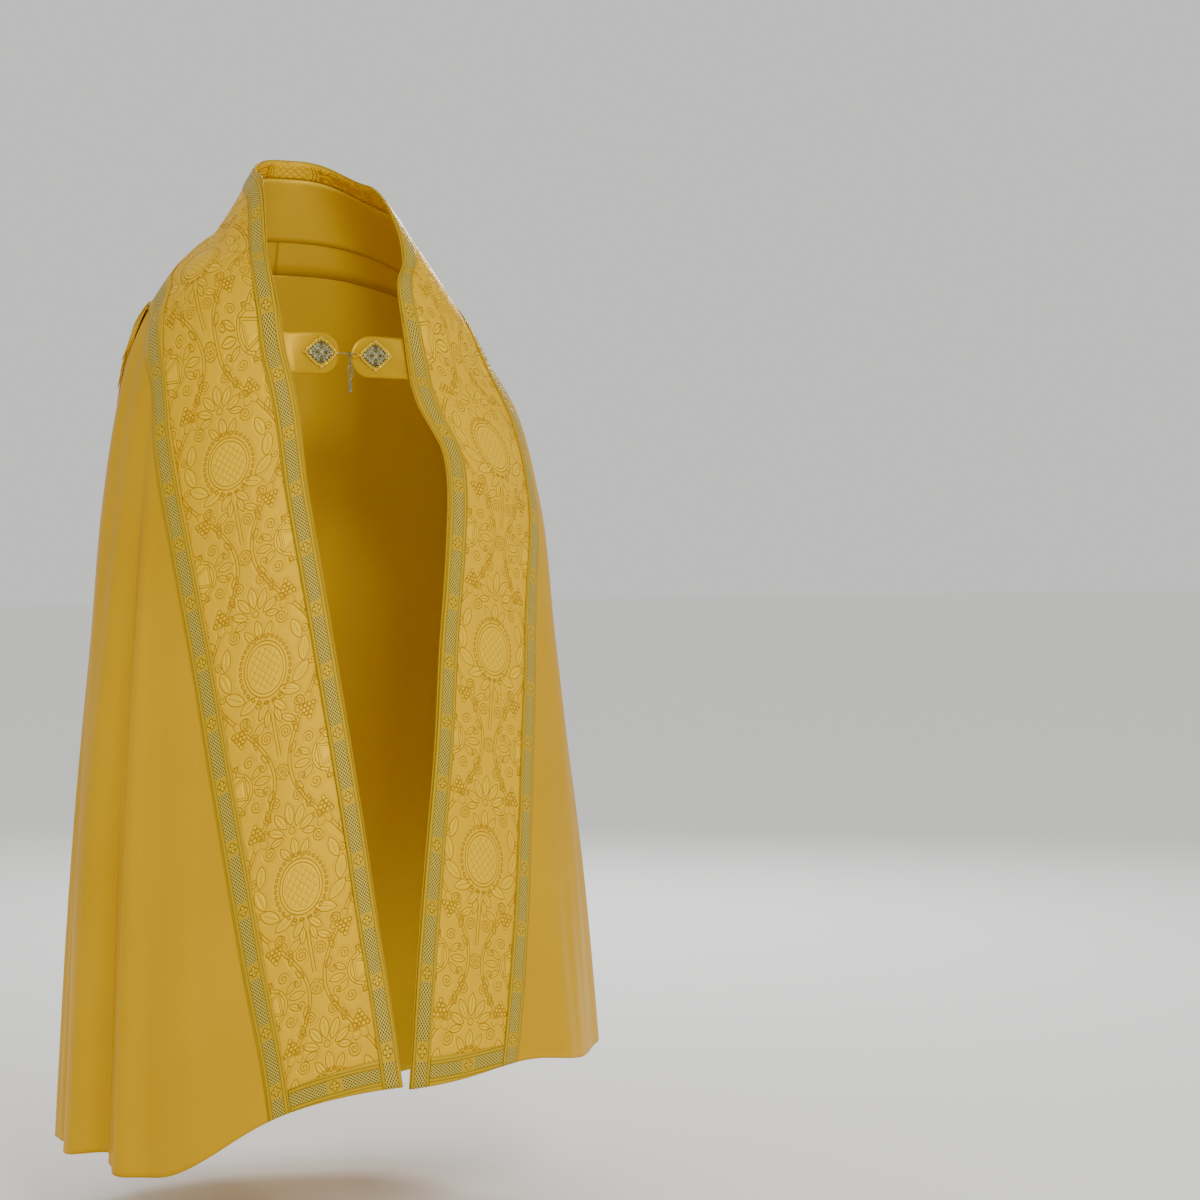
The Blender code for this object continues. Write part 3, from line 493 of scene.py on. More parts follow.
def crossLines(place):
    upright = Spot(place.tree, place.x, place.y.size())
    hub = upright.away(0, 0)
    offHub = 9 - hub
    quatrefoil = upright.away(26, 0).least(upright.away(0, 26)) - 24
    edge = quatrefoil.least(upright.x.most(upright.y) - 33)
    arms = (upright.y - upright.x * 0.30 - 4).most(upright.x - 41)
    arms = arms.least((upright.x - upright.y * 0.30 - 4).most(upright.y - 41))
    lines = edge.size().least((edge + 4).size(), arms.size().most(offHub), offHub.size(),
                              (arms + 3).size().most(offHub) + damask["finer"],
                              upright.x.least(upright.y).most(hub - 6) + damask["finer"])
    lines, solid = addLeaves(upright, lines, edge, (
        (25, 25, 45, 10, 4.2), (0, 64, 90, 13, 6), (13, 60, 52, 12, 5), (65, 0, 0, 12, 5),
        (59, 14, 38, 10, 4.2), (0, 92, 90, 11, 5), (12, 98, 60, 10, 4), (7, 112, 80, 10, 3.6)), 0.6)
    lines = lines.least(*(upright.scroll(*row, 4.4) for row in (
        (16, 80, 9, .2, 1), (50, 30, 8, .5, -1), (68, 16, 6, .1, 1))))
    berries = [upright.away(34 + 6.4 * k + 3.2 * row, 72 - 5.6 * row)
               for row in range(4) for k in range(4 - row)]
    grapes = berries[0].least(*berries[1:]) - 3.0
    return lines.least(grapes.size()), solid.least(grapes)


def vineLines(place):
    along = place.y * (math.pi / damask["halfHigh"])
    swing = along.do("COSINE") * damask["stemSwing"] + damask["stemMiddle"]
    slope = along.sine() * (damask["stemSwing"] * math.pi / damask["halfHigh"])
    stem = ((place.x - swing) / (slope * slope + 1).do("SQRT")).size()
    level = Spot(place.tree, place.x, place.y.size())
    lines = (stem - 2.2).size()
    leafAt = (damask["stemMiddle"], damask["halfHigh"] / 2)  # a vine leaf over the stem
    out = level.away(*leafAt)
    leafEdge = out - level.lobes(*leafAt, 5, 7.5, 8.5, 20)
    veins = (level.bearing(*leafAt, 20) * 2.5 + math.pi / 2).fold(math.pi / 2) * out * 0.4
    lines = lines.most(leafEdge * -1).least(leafEdge.size(), veins.most(leafEdge + 3) + damask["finer"])
    lines = lines.least(*(level.leaf(*row).size() for row in (
        (82, 24, 120, 9, 4), (70, 52, 70, 9, 4), (30, 100, 80, 8, 3.5), (21, 124, 130, 8, 3.4),
        (90, 8, 60, 7, 3))))
    for x, y in ((0, damask["halfHigh"]), (damask["halfWide"], 0)):  # a rosette where two stems meet
        out = level.away(x, y)
        lines = lines.most(10 - out).least((out - 10).size(), (out - 2).size(),
                                           (out - level.lobes(x, y, 6, 2.6, 4.6)).size())
    return lines


def damaskCloth(name, alongShift=0.0):
    material, tree = newMaterial(name, colours["damask"], 0.42, 0.20, Anisotropic=0.25,
                                 Specular_IOR_Level=0.10, Specular_Tint=shine)
    u, v = uvSpot(tree)
    wide, high = damask["halfWide"], damask["halfHigh"]
    x = u.fold(wide)
    fruit = Spot(tree, x, (alongShift - v).do("WRAP", high, -high))
    cross = Spot(tree, wide - x, (alongShift + high - v).do("WRAP", high, -high))
    fruitLines, fruitSolid = pomegranateLines(fruit)
    crossPattern, crossSolid = crossLines(cross)
    lines = fruitLines.least(crossPattern, vineLines(fruit))
    line, glow = lines.line(damask["line"]), lines.line(2.0)
    threads = noise(tree, 110.0, 2.0, (10, 1, 1), onUv=True)
    twill = ((u + v) * (2 * math.pi / 1.3)).sine()
    cloudy = noise(tree, 6.0, 3.0)
    figure = fruitSolid.least(crossSolid).do("MULTIPLY", -1, clamp=True)
    shade = (cloudy * 0.6 + threads * 0.4).do("MULTIPLY_ADD", 2.0, -0.5, clamp=True)
    ground = mixed(shade, colours["damaskDeep"], colours["damask"])
    ground = mixed(figure * 0.75, ground, colours["damaskFigure"])
    # a lighter rim beside each line, toward the figure colour: painted highlight on the raised edges of the
    # recessed lines
    ground = mixed((glow - line).most(0.0) * 0.25, ground, colours["damaskFigure"])
    height = figure * 0.3 - glow + twill * 0.05 + threads * 0.25
    return finished(material, mixed(line * 0.80, ground, colours["damaskLine"]), height, 0.0008, 0.8,
                    line * 0.2 + threads * 0.14 + 0.40 - figure * 0.08)


galloon = {"repeat": 86.0, "gap": 10.5, "core": 8.8, "cords": (9.6, 13.9)}  # mm, across from its middle


def galloonCloth(name):
    material, tree = newMaterial(name, colours["mustard"], 0.38, 0.15, Specular_IOR_Level=0.1)
    u, v = uvSpot(tree)
    across = u.size()
    here = v.fold(galloon["repeat"] / 2)  # 0 in the middle of a gap
    core = (galloon["core"] - across).do("MULTIPLY", 2.0, clamp=True)
    block = core * (here - galloon["gap"]).do("MULTIPLY", 2.0, clamp=True)
    lattice = (u * 1.25 + v).fold(2.6).least((u * 1.25 - v).fold(2.6))
    bright = lattice.line(0.52)
    fine = (v * (2 * math.pi / 0.9)).sine() * 0.5 + 0.5
    weave = noise(tree, 420.0, 1.0, onUv=True)
    blockColour = mixed(bright * 0.85, colours["green"], colours["silver"])
    petals = Spot(tree, across, here)
    flower = (petals.away(4.0, 0).least(petals.away(0, 4.0)) - 2.9).least(petals.away(0, 0) - 2.0)
    flowerIn = (flower * -3.0).do("ADD", 0.3, clamp=True)
    border = mixed(fine * 0.5 + weave * 0.4, colours["mustard"], colours["mustardLight"])
    border = mixed(flowerIn, border, colours["mustardLight"])
    border = mixed(flower.size().line(0.35) * core, border, colours["twist"])
    face = mixed(block, border, blockColour)
    inner, outer = galloon["cords"]
    cord = (across - inner).size().least((across - outer).size()).line(0.45)
    twist = ((v + across * 1.4) * (2 * math.pi / 2.2)).sine() * 0.5 + 0.5
    cordColour = mixed(twist, colours["twist"], colours["mustardLight"])
    height = (bright * block * 0.5 + cord * (twist * 0.5 + 0.6) + weave * 0.4 + fine * 0.1
              + flowerIn * core * 0.4)
    return finished(material, mixed(cord, face, cordColour), height, 0.0009, 0.9, weave * 0.3 + 0.25)


def twistedCord(name, light, dark, pitch, metallic):
    # the cord's UV runs once round it and then along it in metres
    material, tree = newMaterial(name, light, 0.36, metallic, Specular_IOR_Level=0.25)
    around, along = uvSpot(tree, 1.0)
    ply = ((around * 2 + along / pitch) * (2 * math.pi)).sine() * 0.5 + 0.5
    # darker along the grooves between the plies, where the bump is low: painted shade, with random tone on
    # top
    shade = (ply * 0.8 + noise(tree, 60.0) * 0.5).do("SUBTRACT", 0.2, clamp=True)
    return finished(material, mixed(shade, dark, light), ply, 0.0007, 0.9)


def metal(name, colour, roughness):
    material, tree = newMaterial(name, colour, roughness, 1.0)
    wear = noise(tree, 900.0)
    shade = noise(tree, 300.0).do("MULTIPLY_ADD", 2.4, -0.7, clamp=True)
    dull = tuple(c * 0.72 for c in colour)
    return finished(material, mixed(shade, dull, colour), wear, 0.0002, 0.4,
                    wear * 0.25 + (roughness - 0.1))


cloths = {
    "satin": satin("satin outside", colours["satin"], colours["satinDeep"]),
    # lighter than the outer satin: partly painted light for the shaded inside
    "lining": satin("satin lining", colours["satinLining"], colours["liningDeep"], 0.48),
    "damask": damaskCloth("damask"),
    "damaskHood": damaskCloth("damask hood", damask["halfHigh"]),
    "galloon": galloonCloth("galloon"),
    "piping": twistedCord("gold piping", colours["mustardLight"], colours["mustard"], 0.0030, 0.15),
    "fringe": twistedCord("bullion fringe", colours["fringe"], colours["fringeDark"], 0.0042, 0.30),
    "gold": metal("gilt metal", colours["brightGold"], 0.24),
    "silver": metal("silver metal", colours["silverMetal"], 0.26),
    "steel": metal("chain metal", colours["steel"], 0.30),
    "tarnish": metal("tarnished silver", colours["tarnish"], 0.45)}
print("materials made")


# The band's surface, from its free edge (share 0) to its sewn edge (share 1)

def bandEdges(side, along):
    table = np.array(drape["band"][side], float)
    return [throughRows(table[:, 0], table[:, k], along) for k in range(1, 5)]


def bandPoints(side, along, shares, lift=0.0):
    freeAngle, freeLevel, sewnAngle, sewnLevel = (v[:, None] for v in bandEdges(side, along))
    shares = np.asarray(shares, float)
    if shares.ndim == 1:
        shares = shares[None, :]
    angle = side * (freeAngle + (sewnAngle - freeAngle) * shares)
    level = freeLevel + (sewnLevel - freeLevel) * shares
    points = cloth(angle, level, lift)
    return points + outward(angle, level) * bandSwell(side, along[:, None], shares)[..., None]


def bandSwell(side, along, share):
    # slight waves across the band, none along its edges
    hold = np.sin(math.pi * np.clip(share, 0, 1)) ** 0.7
    grow = np.clip((along - 0.12) / 0.3, 0, 1)
    wave = (np.sin(9.1 * along + 1.3 * side + 2.2 * share) * 1.1
            + np.sin(21 * along + 4 * side + 5 * share) * 0.6
            + np.sin(37 * along - 2 * side - 7 * share) * 0.35)
    return wave * hold * grow * mm


def bothSides(along, shares, lift=0.0):
    # from the right hem round the nape to the left hem
    onRight, onLeft = (bandPoints(side, along, shares, lift) for side in (right, left))
    return np.concatenate([onRight[::-1], onLeft[1:]])


def fromNape(along):
    return np.concatenate([-along[::-1], along[1:]])


def lengths(points, axis):
    steps = np.linalg.norm(np.diff(points, axis=axis), axis=-1)
    start = np.zeros_like(np.take(steps, [0], axis=axis))
    return np.concatenate([start, np.cumsum(steps, axis=axis)], axis=axis)


def clothUvs(points, v=None):
    # metres across from the middle of each row, and along
    u = lengths(points, 1)
    u = u - u[:, -1:] / 2
    if v is None:
        v = lengths(points, 0)[:, points.shape[1] // 2]
    return np.stack([u, np.broadcast_to(np.asarray(v)[:, None], u.shape)], axis=-1)


# The two orphreys

orphrey = {"rows": 300, "columns": 26, "wall": 2.2 * mm, "to": 0.998,
           "flat": {right: (0.236, 1.53), left: (0.240, 1.53)}}
alongBand = np.linspace(0, bandLength, orphrey["rows"])
orphreys = {}
for side, place in sideNames.items():
    points = bandPoints(side, alongBand, np.linspace(0, orphrey["to"], orphrey["columns"]))
    uvs = clothUvs(points, alongBand)
    if side == right:
        points, uvs = points[:, ::-1], uvs[:, ::-1]
    orphreys[side] = sheetPiece(place + " orphrey", points, uvs, orphrey["wall"],
                                cloths["damask"], cloths["lining"])
print("orphreys made")


# The satin, which hangs from the band: its top row is the seam over the back, its ends the seams in front

body = {"rows": 150, "columns": 312, "wall": 1.6 * mm, "seam": 0.0013,
        "from": 0.30, "crowd": 1.04,  # where on the band it starts, and how its rows crowd there
        "round": 2.4, "calmSide": 0.14, "calmTop": 0.10}  # the soft folds fade out near its ends and its top
along = body["from"] + (bandLength - body["from"]) * np.linspace(0, 1, body["rows"]) ** body["crowd"]
_, _, rightAngle, rightLevel = (v[:, None] for v in bandEdges(right, along))
_, _, leftAngle, leftLevel = (v[:, None] for v in bandEdges(left, along))
share = np.linspace(0, 1, body["columns"])[None, :]
angle = -rightAngle + (leftAngle + rightAngle) * share
level = rightLevel + (leftLevel - rightLevel) * share
fromEnds = np.minimum(share * body["round"], (1 - share) * body["round"])
fromSeam = np.minimum(fromEnds / body["calmSide"], 1.0) * np.clip(level / body["calmTop"], 0, 1)
soft = fromSeam * (2 - fromSeam)
points = cloth(angle, level, ripples(angle, level) * soft, soft=soft)
for line, inner in ((points[:, 0], points[:, 1]), (points[:, -1], points[:, -2]), (points[0], points[1])):
    line += body["seam"] * unit(inner - line)
satinPiece = sheetPiece("cope satin", points.transpose(1, 0, 2), clothUvs(points).transpose(1, 0, 2),
                        body["wall"], cloths["satin"], cloths["lining"])
print("satin made")


# The damask facing inside the neck edge, and the plain lining below it

neckInside = {"to": 0.46, "lift": -2.8 * mm, "wall": 1.0 * mm, "rows": 90,
              "facing": (0.012, 0.15, 6), "lining": (0.155, 0.86, 16)}  # first and last share, columns


def neckSheet(name, shares, material):
    along = np.linspace(0, neckInside["to"], neckInside["rows"])
    points = bothSides(along, np.linspace(*shares), neckInside["lift"])
    return sheetPiece(name, points, clothUvs(points, fromNape(along)), neckInside["wall"], material)


neckFacing = neckSheet("damask facing", neckInside["facing"], cloths["damask"])
collarLining = neckSheet("satin lining", neckInside["lining"], cloths["lining"])
print("neck made")


# The galloons, woven strips laid on the band's edges, across its middle at the back and across each hem

strip = {"lift": 1.65 * mm, "crown": 0.35 * mm, "wall": 1.2 * mm, "columns": 9, "share": 0.15,
         "from": 0.002, "apart": 0.004, "backHalf": 0.0135, "hemFrom": 1.468,
         "over": 0.013, "overFrom": 0.30, "overGrow": 0.15}  # how it laps the seam on the fronts
crown = strip["lift"] + strip["crown"] * (1 - np.linspace(-1, 1, strip["columns"]) ** 4)


def galloonPiece(name, points, v):
    return sheetPiece(name, points, clothUvs(points, v), strip["wall"], cloths["galloon"])


innerShares = np.linspace(strip["from"], strip["share"], strip["columns"])
overSeam = 1 + strip["over"] * np.clip((alongBand - strip["overFrom"]) / strip["overGrow"], 0, 1)
outerShares = np.linspace(1 - strip["share"], overSeam, strip["columns"], axis=1)
galloons = {"galloon_" + place: galloonPiece(place + " galloon", bothSides(alongBand, shares, crown),
                                             fromNape(alongBand))
            for place, shares in (("inner", innerShares), ("outer", outerShares))}
clear = strip["share"] + strip["apart"]  # the cross strips lie between the other two
crossShares = np.linspace(clear, 1 - clear, 60)
points = bothSides(np.linspace(0, strip["backHalf"], 5), crossShares, strip["lift"])
points = points.transpose(1, 0, 2)[:, ::-1]
galloons["galloon_centre_back"] = galloonPiece("back galloon", points, lengths(points, 0)[:, 4])
for side, place in sideNames.items():
    alongHem = np.linspace(strip["hemFrom"], bandLength, 9)
    points = bandPoints(side, alongHem, crossShares, strip["lift"]).transpose(1, 0, 2)
    if side == left:
        points = points[:, ::-1]
    v = lengths(points, 0)[:, 4]
    galloons["galloon_hem_" + place] = galloonPiece(place + " hem galloon", points, v - v[-1] / 2)
print("galloons made")


# Tubes along a line of points, for cords, piping and wire

def tubeMesh(name, line, radius, sides=8, closed=False):
    line = np.asarray(line, float)
    after = np.roll(line, -1, axis=0) if closed else np.vstack([line[1:], 2 * line[-1:] - line[-2:-1]])
    before = np.roll(line, 1, axis=0) if closed else np.vstack([2 * line[:1] - line[1:2], line[:-1]])
    tangent = unit(after - before)
    carried = [unit(np.cross(tangent[0], (0.31, 0.52, 0.79)))]  # any way that no line here runs along
    for way in tangent[1:]:
        carried.append(unit(carried[-1] - way * np.dot(carried[-1], way)))
    upright = np.array(carried)
    other = np.cross(tangent, upright)
    turn = np.linspace(0, 2 * math.pi, sides + 1)
    radii = np.broadcast_to(np.asarray(radius, float), len(line))
    rings = (line[:, None] + radii[:, None, None] * (np.cos(turn)[None, :, None] * upright[:, None]
                                                    + np.sin(turn)[None, :, None] * other[:, None]))
    length = lengths(line, 0)
    uvs = np.stack(np.broadcast_arrays(turn[None, :] / (2 * math.pi), length[:, None]), axis=-1)
    if closed:
        rings = np.concatenate([rings, rings[:1]])
        step = np.linalg.norm(line[0] - line[-1])
        uvs = np.concatenate([uvs, uvs[:1] + np.array([0, length[-1] + step])])
    mesh = gridMesh(name, rings, uvs)
    solid = bmesh.new()
    solid.from_mesh(mesh)
    bmesh.ops.remove_doubles(solid, verts=solid.verts, dist=1e-6)
    if not closed:
        bmesh.ops.holes_fill(solid, edges=[e for e in solid.edges if e.is_boundary], sides=sides + 2)
    bmesh.ops.recalc_face_normals(solid, faces=solid.faces)
    solid.to_mesh(mesh)
    solid.free()
    return mesh


def joined(name, meshes, *materials):
    solid = bmesh.new()
    for mesh in meshes:
        solid.from_mesh(mesh)
        bpy.data.meshes.remove(mesh)
    whole = bpy.data.meshes.new(name)
    solid.to_mesh(whole)
    solid.free()
    whole.polygons.foreach_set("use_smooth", np.ones(len(whole.polygons), dtype=bool))
    return newPiece(name, whole, *materials)


# Gold piping along the free edge

piping = {"radius": 1.25 * mm, "share": -0.003, "lift": -0.6 * mm}
edgeLine = bothSides(alongBand, [piping["share"]], piping["lift"])[:, 0]
edgePiping = newPiece("edge piping", tubeMesh("edge piping", edgeLine, piping["radius"]), cloths["piping"])
print("piping made")


# The hood, a shield laid out flat and hung from the band's seam

hood = {"half": 0.292, "drop": 0.482, "corner": 0.175, "topLift": 4.4 * mm, "lift": 8.5 * mm, "fullAt": 0.03,
        "galloon": 0.030, "wall": 2.2 * mm, "top": 0.0003,
        "rows": 52, "columns": 60, "halfWay": 0.36}  # the rows take this share of the outline on each side

# metres down the middle of the back for each level, and round the cloth from there for each angle
levelTable, angleTable = np.linspace(0, 0.75, 151), np.linspace(0, 150, 151)
fallen = lengths(bareCloth(np.zeros_like(levelTable), levelTable), 0)
roundTable = {side: lengths(bareCloth(side * angleTable[None, :], levelTable[:, None]), 1)
              for side in (right, left)}


def hoodSurface(across, down, lift):
    across, down = np.broadcast_arrays(across, down)
    level = np.interp(down, fallen, levelTable).ravel()
    row = np.clip(level / levelTable[1], 0, len(levelTable) - 1.001)
    angle = np.empty_like(level)
    for k, reach in enumerate(across.ravel()):
        side = left if reach > 0 else right
        i, t = int(row[k]), row[k] - int(row[k])
        length = (1 - t) * roundTable[side][i] + t * roundTable[side][i + 1]
        angle[k] = side * np.interp(abs(reach), length, angleTable)
    return cloth(angle.reshape(across.shape), level.reshape(across.shape), lift, folded=False)


def hoodSwell(across, down):
    # the hood hangs a little away from the back, more at its foot, in a few soft waves
    low = np.clip(down / hood["drop"], 0, 1.15)
    wave = (np.sin(across * 15 + 0.7) * 1.4 + np.sin(across * 31 - 6 * down + 2) * 0.9
            + np.sin(across * 57 + 9 * down) * 0.35 + np.sin(down * 23 + across * 4) * 0.6)
    return (2.6 * low**2 + wave * low) * mm


def hoodLift(across, down):
    flat = hood["topLift"] + (hood["lift"] - hood["topLift"]) * np.clip(down / hood["fullAt"], 0, 1)
    return flat + hoodSwell(across, down)


def hoodOutline(shares, inset=0.0):
    # places on the edge, from the right top corner round to the left one, and the way out of it there
    half, drop, corner = hood["half"] - inset, hood["drop"] - inset, hood["corner"] - inset
    side, base = hood["drop"] - hood["corner"], hood["half"] - hood["corner"]
    arc = math.pi / 2 * hood["corner"]
    length = np.asarray(shares) * 2 * (side + arc + base)
    past = length > side + arc + base
    length = np.where(past, 2 * (side + arc + base) - length, length)
    turn = np.clip((length - side) / hood["corner"], 0, math.pi / 2)
    out = np.stack([-np.cos(turn), np.sin(turn)], axis=-1)
    x = -(half - corner) + corner * out[:, 0] + np.maximum(length - side - arc, 0)
    y = np.where(length < side, length, drop - corner + corner * out[:, 1])
    mirror = np.where(past, -1, 1)
    places = np.stack([mirror * x, np.maximum(y, hood["top"])], axis=-1)
    return places, out * np.stack([mirror, np.ones_like(x)], axis=-1)


def hoodGrid():
    # rows and columns that follow the outline on all four sides
    rows, columns, halfWay = hood["rows"], hood["columns"], hood["halfWay"]
    down = hoodOutline(np.linspace(0, halfWay, rows + 1))[0]
    up = hoodOutline(np.linspace(1, 1 - halfWay, rows + 1))[0]
    base = hoodOutline(np.linspace(halfWay, 1 - halfWay, columns + 1))[0]
    top = np.linspace(down[0], up[0], columns + 1)
    u = np.linspace(0, 1, rows + 1)[:, None, None]
    v = np.linspace(0, 1, columns + 1)[None, :, None]
    corners = (1 - u) * ((1 - v) * top[0] + v * top[-1]) + u * ((1 - v) * base[0] + v * base[-1])
    return (1 - v) * down[:, None] + v * up[:, None] + (1 - u) * top[None] + u * base[None] - corners


def onHood(flat, extra=0.0):
    return hoodSurface(flat[..., 0], flat[..., 1], hoodLift(flat[..., 0], flat[..., 1]) + extra)


flat = hoodGrid()[:, ::-1]
hoodPiece = sheetPiece("hood shield", onHood(flat), flat, hood["wall"],
                       cloths["damaskHood"], cloths["lining"])
roundHood = np.linspace(0, 1, 420)
rings = [hoodOutline(roundHood, inset)[0] for inset in np.linspace(hood["galloon"], 0, strip["columns"])]
flat = np.stack(rings, axis=1)
points = np.stack([onHood(flat[:, k], crown[k]) for k in range(strip["columns"])], axis=1)
hoodGalloon = galloonPiece("hood trim", points, lengths(points, 0)[:, 4])
print("hood made")


# The fringe: a twisted strand of bullion, placed along a strip round the hood

fringe = {"strands": 640, "length": 0.0640, "radius": 1.25 * mm, "rings": 12, "sides": 7,
          "uneven": 0.09, "seed": 11,
          "past": 0.0043, "top": 0.0016,  # the roots, from the hood's edge and its top
          "rootLift": -0.5 * mm, "footLift": 0.8 * mm, "sideFootLift": -4.5 * mm,
          "hang": {right: 0.84, left: 0.55},  # how far the strands turn down on each side
          # the heading starts behind the hood's edge: mm past the edge, mm out
          "headTop": 0.0013, "heading": ((-2.0, -3.2), (0.0, -2.9), (2.6, -0.9), (7.3, 0.3))}


def strandMesh():
    # one strand hangs down -Z from its root, swelling a little and closed at its foot
    t = np.linspace(0, 1, fringe["rings"] + 1)
    line = np.stack([0.0006 * np.sin(5 * t), 0.0005 * np.sin(3.3 * t + 1), -fringe["length"] * t], axis=1)
    radius = fringe["radius"] * (0.9 + 0.16 * np.sin(2.6 * t) - 0.55 * np.clip(t - 0.94, 0, 1) / 0.06)
    return tubeMesh("fringe strand", line, radius, fringe["sides"])


def fringeGuide():
    # a point for each strand, with the ways that it hangs and faces
    shares = (np.arange(fringe["strands"]) + 0.5) / fringe["strands"]
    edge, out = hoodOutline(shares)
    edge[:, 1] = np.maximum(edge[:, 1], fringe["top"])
    root = edge + out * fringe["past"]
    hang = np.where(edge[:, :1] < 0, fringe["hang"][right], fringe["hang"][left])
    way = unit(out * (1 - hang) + hang * np.array([0, 1]))
    footLift = fringe["footLift"] + fringe["sideFootLift"] * np.abs(out[:, 0])
    high = onHood(root, fringe["rootLift"])
    hang = onHood(root + way * fringe["length"], footLift) - high
    facing = onHood(root, 5 * mm) - high
    facing -= hang * (np.sum(facing * hang, axis=1) / np.sum(hang * hang, axis=1))[:, None]
    guide = bpy.data.meshes.new("fringe guide")
    guide.from_pydata([tuple(p) for p in high], [], [])
    for name, values in (("hang", hang), ("facing", facing)):
        attribute = guide.attributes.new(name, "FLOAT_VECTOR", "POINT")
        attribute.data.foreach_set("vector", unit(values).ravel())
    return newPiece("fringe strands", guide)


def strandGroup():
    group = bpy.data.node_groups.new("bullion fringe", "GeometryNodeTree")
    for name, kind in (("Geometry", "Geometry"), ("Strand", "Object"), ("Seed", "Int"),
                       ("Unevenness", "Float"), ("Material", "Material")):
        group.interface.new_socket(name, in_out="INPUT", socket_type="NodeSocket" + kind)
    group.interface.new_socket("Geometry", in_out="OUTPUT", socket_type="NodeSocketGeometry")
    given = addNode(group, "NodeGroupInput", {}).outputs
    toPoints = addNode(group, "GeometryNodeMeshToPoints", {"Mesh": given["Geometry"]})
    hang, facing = (addNode(group, "GeometryNodeInputNamedAttribute", {"Name": name},
                            data_type="FLOAT_VECTOR").outputs[0] for name in ("hang", "facing"))
    low, high = (addNode(group, "ShaderNodeVectorMath",
                         {0: (sign * 0.7, sign * 0.5, sign), "Scale": given["Unevenness"]},
                         operation="SCALE").outputs[0] for sign in (-1, 1))
    sway, scale = (addNode(group, "FunctionNodeRandomValue", {0: least, 1: most, "Seed": given["Seed"]},
                           data_type="FLOAT_VECTOR").outputs[0]
                   for least, most in ((low, high), ((0.85, 0.85, 0.90), (1.15, 1.15, 1.04))))
    swung = addNode(group, "ShaderNodeVectorMath", {0: hang, 1: sway})
    turned = addNode(group, "ShaderNodeVectorMath", {0: swung.outputs[0], "Scale": -1}, operation="SCALE")
    down = addNode(group, "FunctionNodeAlignRotationToVector", {"Vector": turned.outputs[0]}, axis="Z")
    front = addNode(group, "FunctionNodeAlignRotationToVector",
                    {"Rotation": down.outputs[0], "Vector": facing}, axis="X", pivot_axis="Z")
    strand = addNode(group, "GeometryNodeObjectInfo", {"Object": given["Strand"]})
    placed = addNode(group, "GeometryNodeInstanceOnPoints", {
        "Points": toPoints.outputs[0], "Instance": strand.outputs["Geometry"],
        "Rotation": front.outputs[0], "Scale": scale})
    realized = addNode(group, "GeometryNodeRealizeInstances", {0: placed.outputs[0]})
    finish = addNode(group, "GeometryNodeSetMaterial",
                     {"Geometry": realized.outputs[0], "Material": given["Material"]})
    addNode(group, "NodeGroupOutput", {0: finish.outputs[0]})
    return group


strandPiece = newPiece("fringe strand", strandMesh(), cloths["fringe"])
hoodFringe = fringeGuide()
group = strandGroup()
modifier = hoodFringe.modifiers.new("bullion fringe", "NODES")
modifier.node_group = group
inputs = {item.name: item.identifier for item in group.interface.items_tree if item.in_out == "INPUT"}
for name, value in (("Strand", strandPiece), ("Seed", fringe["seed"]), ("Unevenness", fringe["uneven"]),
                    ("Material", cloths["fringe"])):
    modifier[inputs[name]] = value
applyAll(hoodFringe)
bpy.data.objects.remove(strandPiece)
edge, out = hoodOutline(roundHood)
edge[:, 1] = np.maximum(edge[:, 1], fringe["headTop"])
heading = np.stack([onHood(edge + out * past * mm, lift * mm) for past, lift in fringe["heading"]], axis=1)
fringeHead = sheetPiece("fringe heading", heading, clothUvs(heading), strip["wall"], cloths["piping"])
print("fringe made")


# The morse: a tab from behind each front, rounded at its end, with a filigree plate on it

tabs = {"half": 0.030, "behind": 0.15, "clear": 3.4 * mm, "wall": 1.6 * mm, "bow": 4 * mm,
        "puff": 1.2 * mm, "puffEdge": 0.004, "puffStart": 0.01,
        "rows": 25, "columns": 40, "behindColumns": 6, "endColumns": 16,
        right: {"height": -0.168, "end": (-0.0265, -0.176), "plate": (-0.0580, -0.1670)},
        left: {"height": -0.171, "end": (-0.0070, -0.171), "plate": (0.0300, -0.1690)}}


def tabStart(side):
    # where along the band each row of the tab leaves the front's free edge, and the rows' heights
    along = np.linspace(0.3, 0.8, 201)
    edgeZ = bandPoints(side, along, [0.0])[:, 0, 2]
    heights = tabs[side]["height"] + np.linspace(1, -1, tabs["rows"]) * tabs["half"]
    return np.interp(-heights, -edgeZ, along), heights


def tabPlan(side, share):
    # the tab seen from above, from the front's free edge (0) to its end (1)
    at, _ = tabStart(side)
    start = bandPoints(side, at, [0.0], -tabs["clear"])[tabs["rows"] // 2, 0, :2]
    end = np.array(tabs[side]["end"])
    share = np.asarray(share, float)[..., None]
    return start + (end - start) * share + np.array([0, -tabs["bow"]]) * 4 * share * (1 - share)


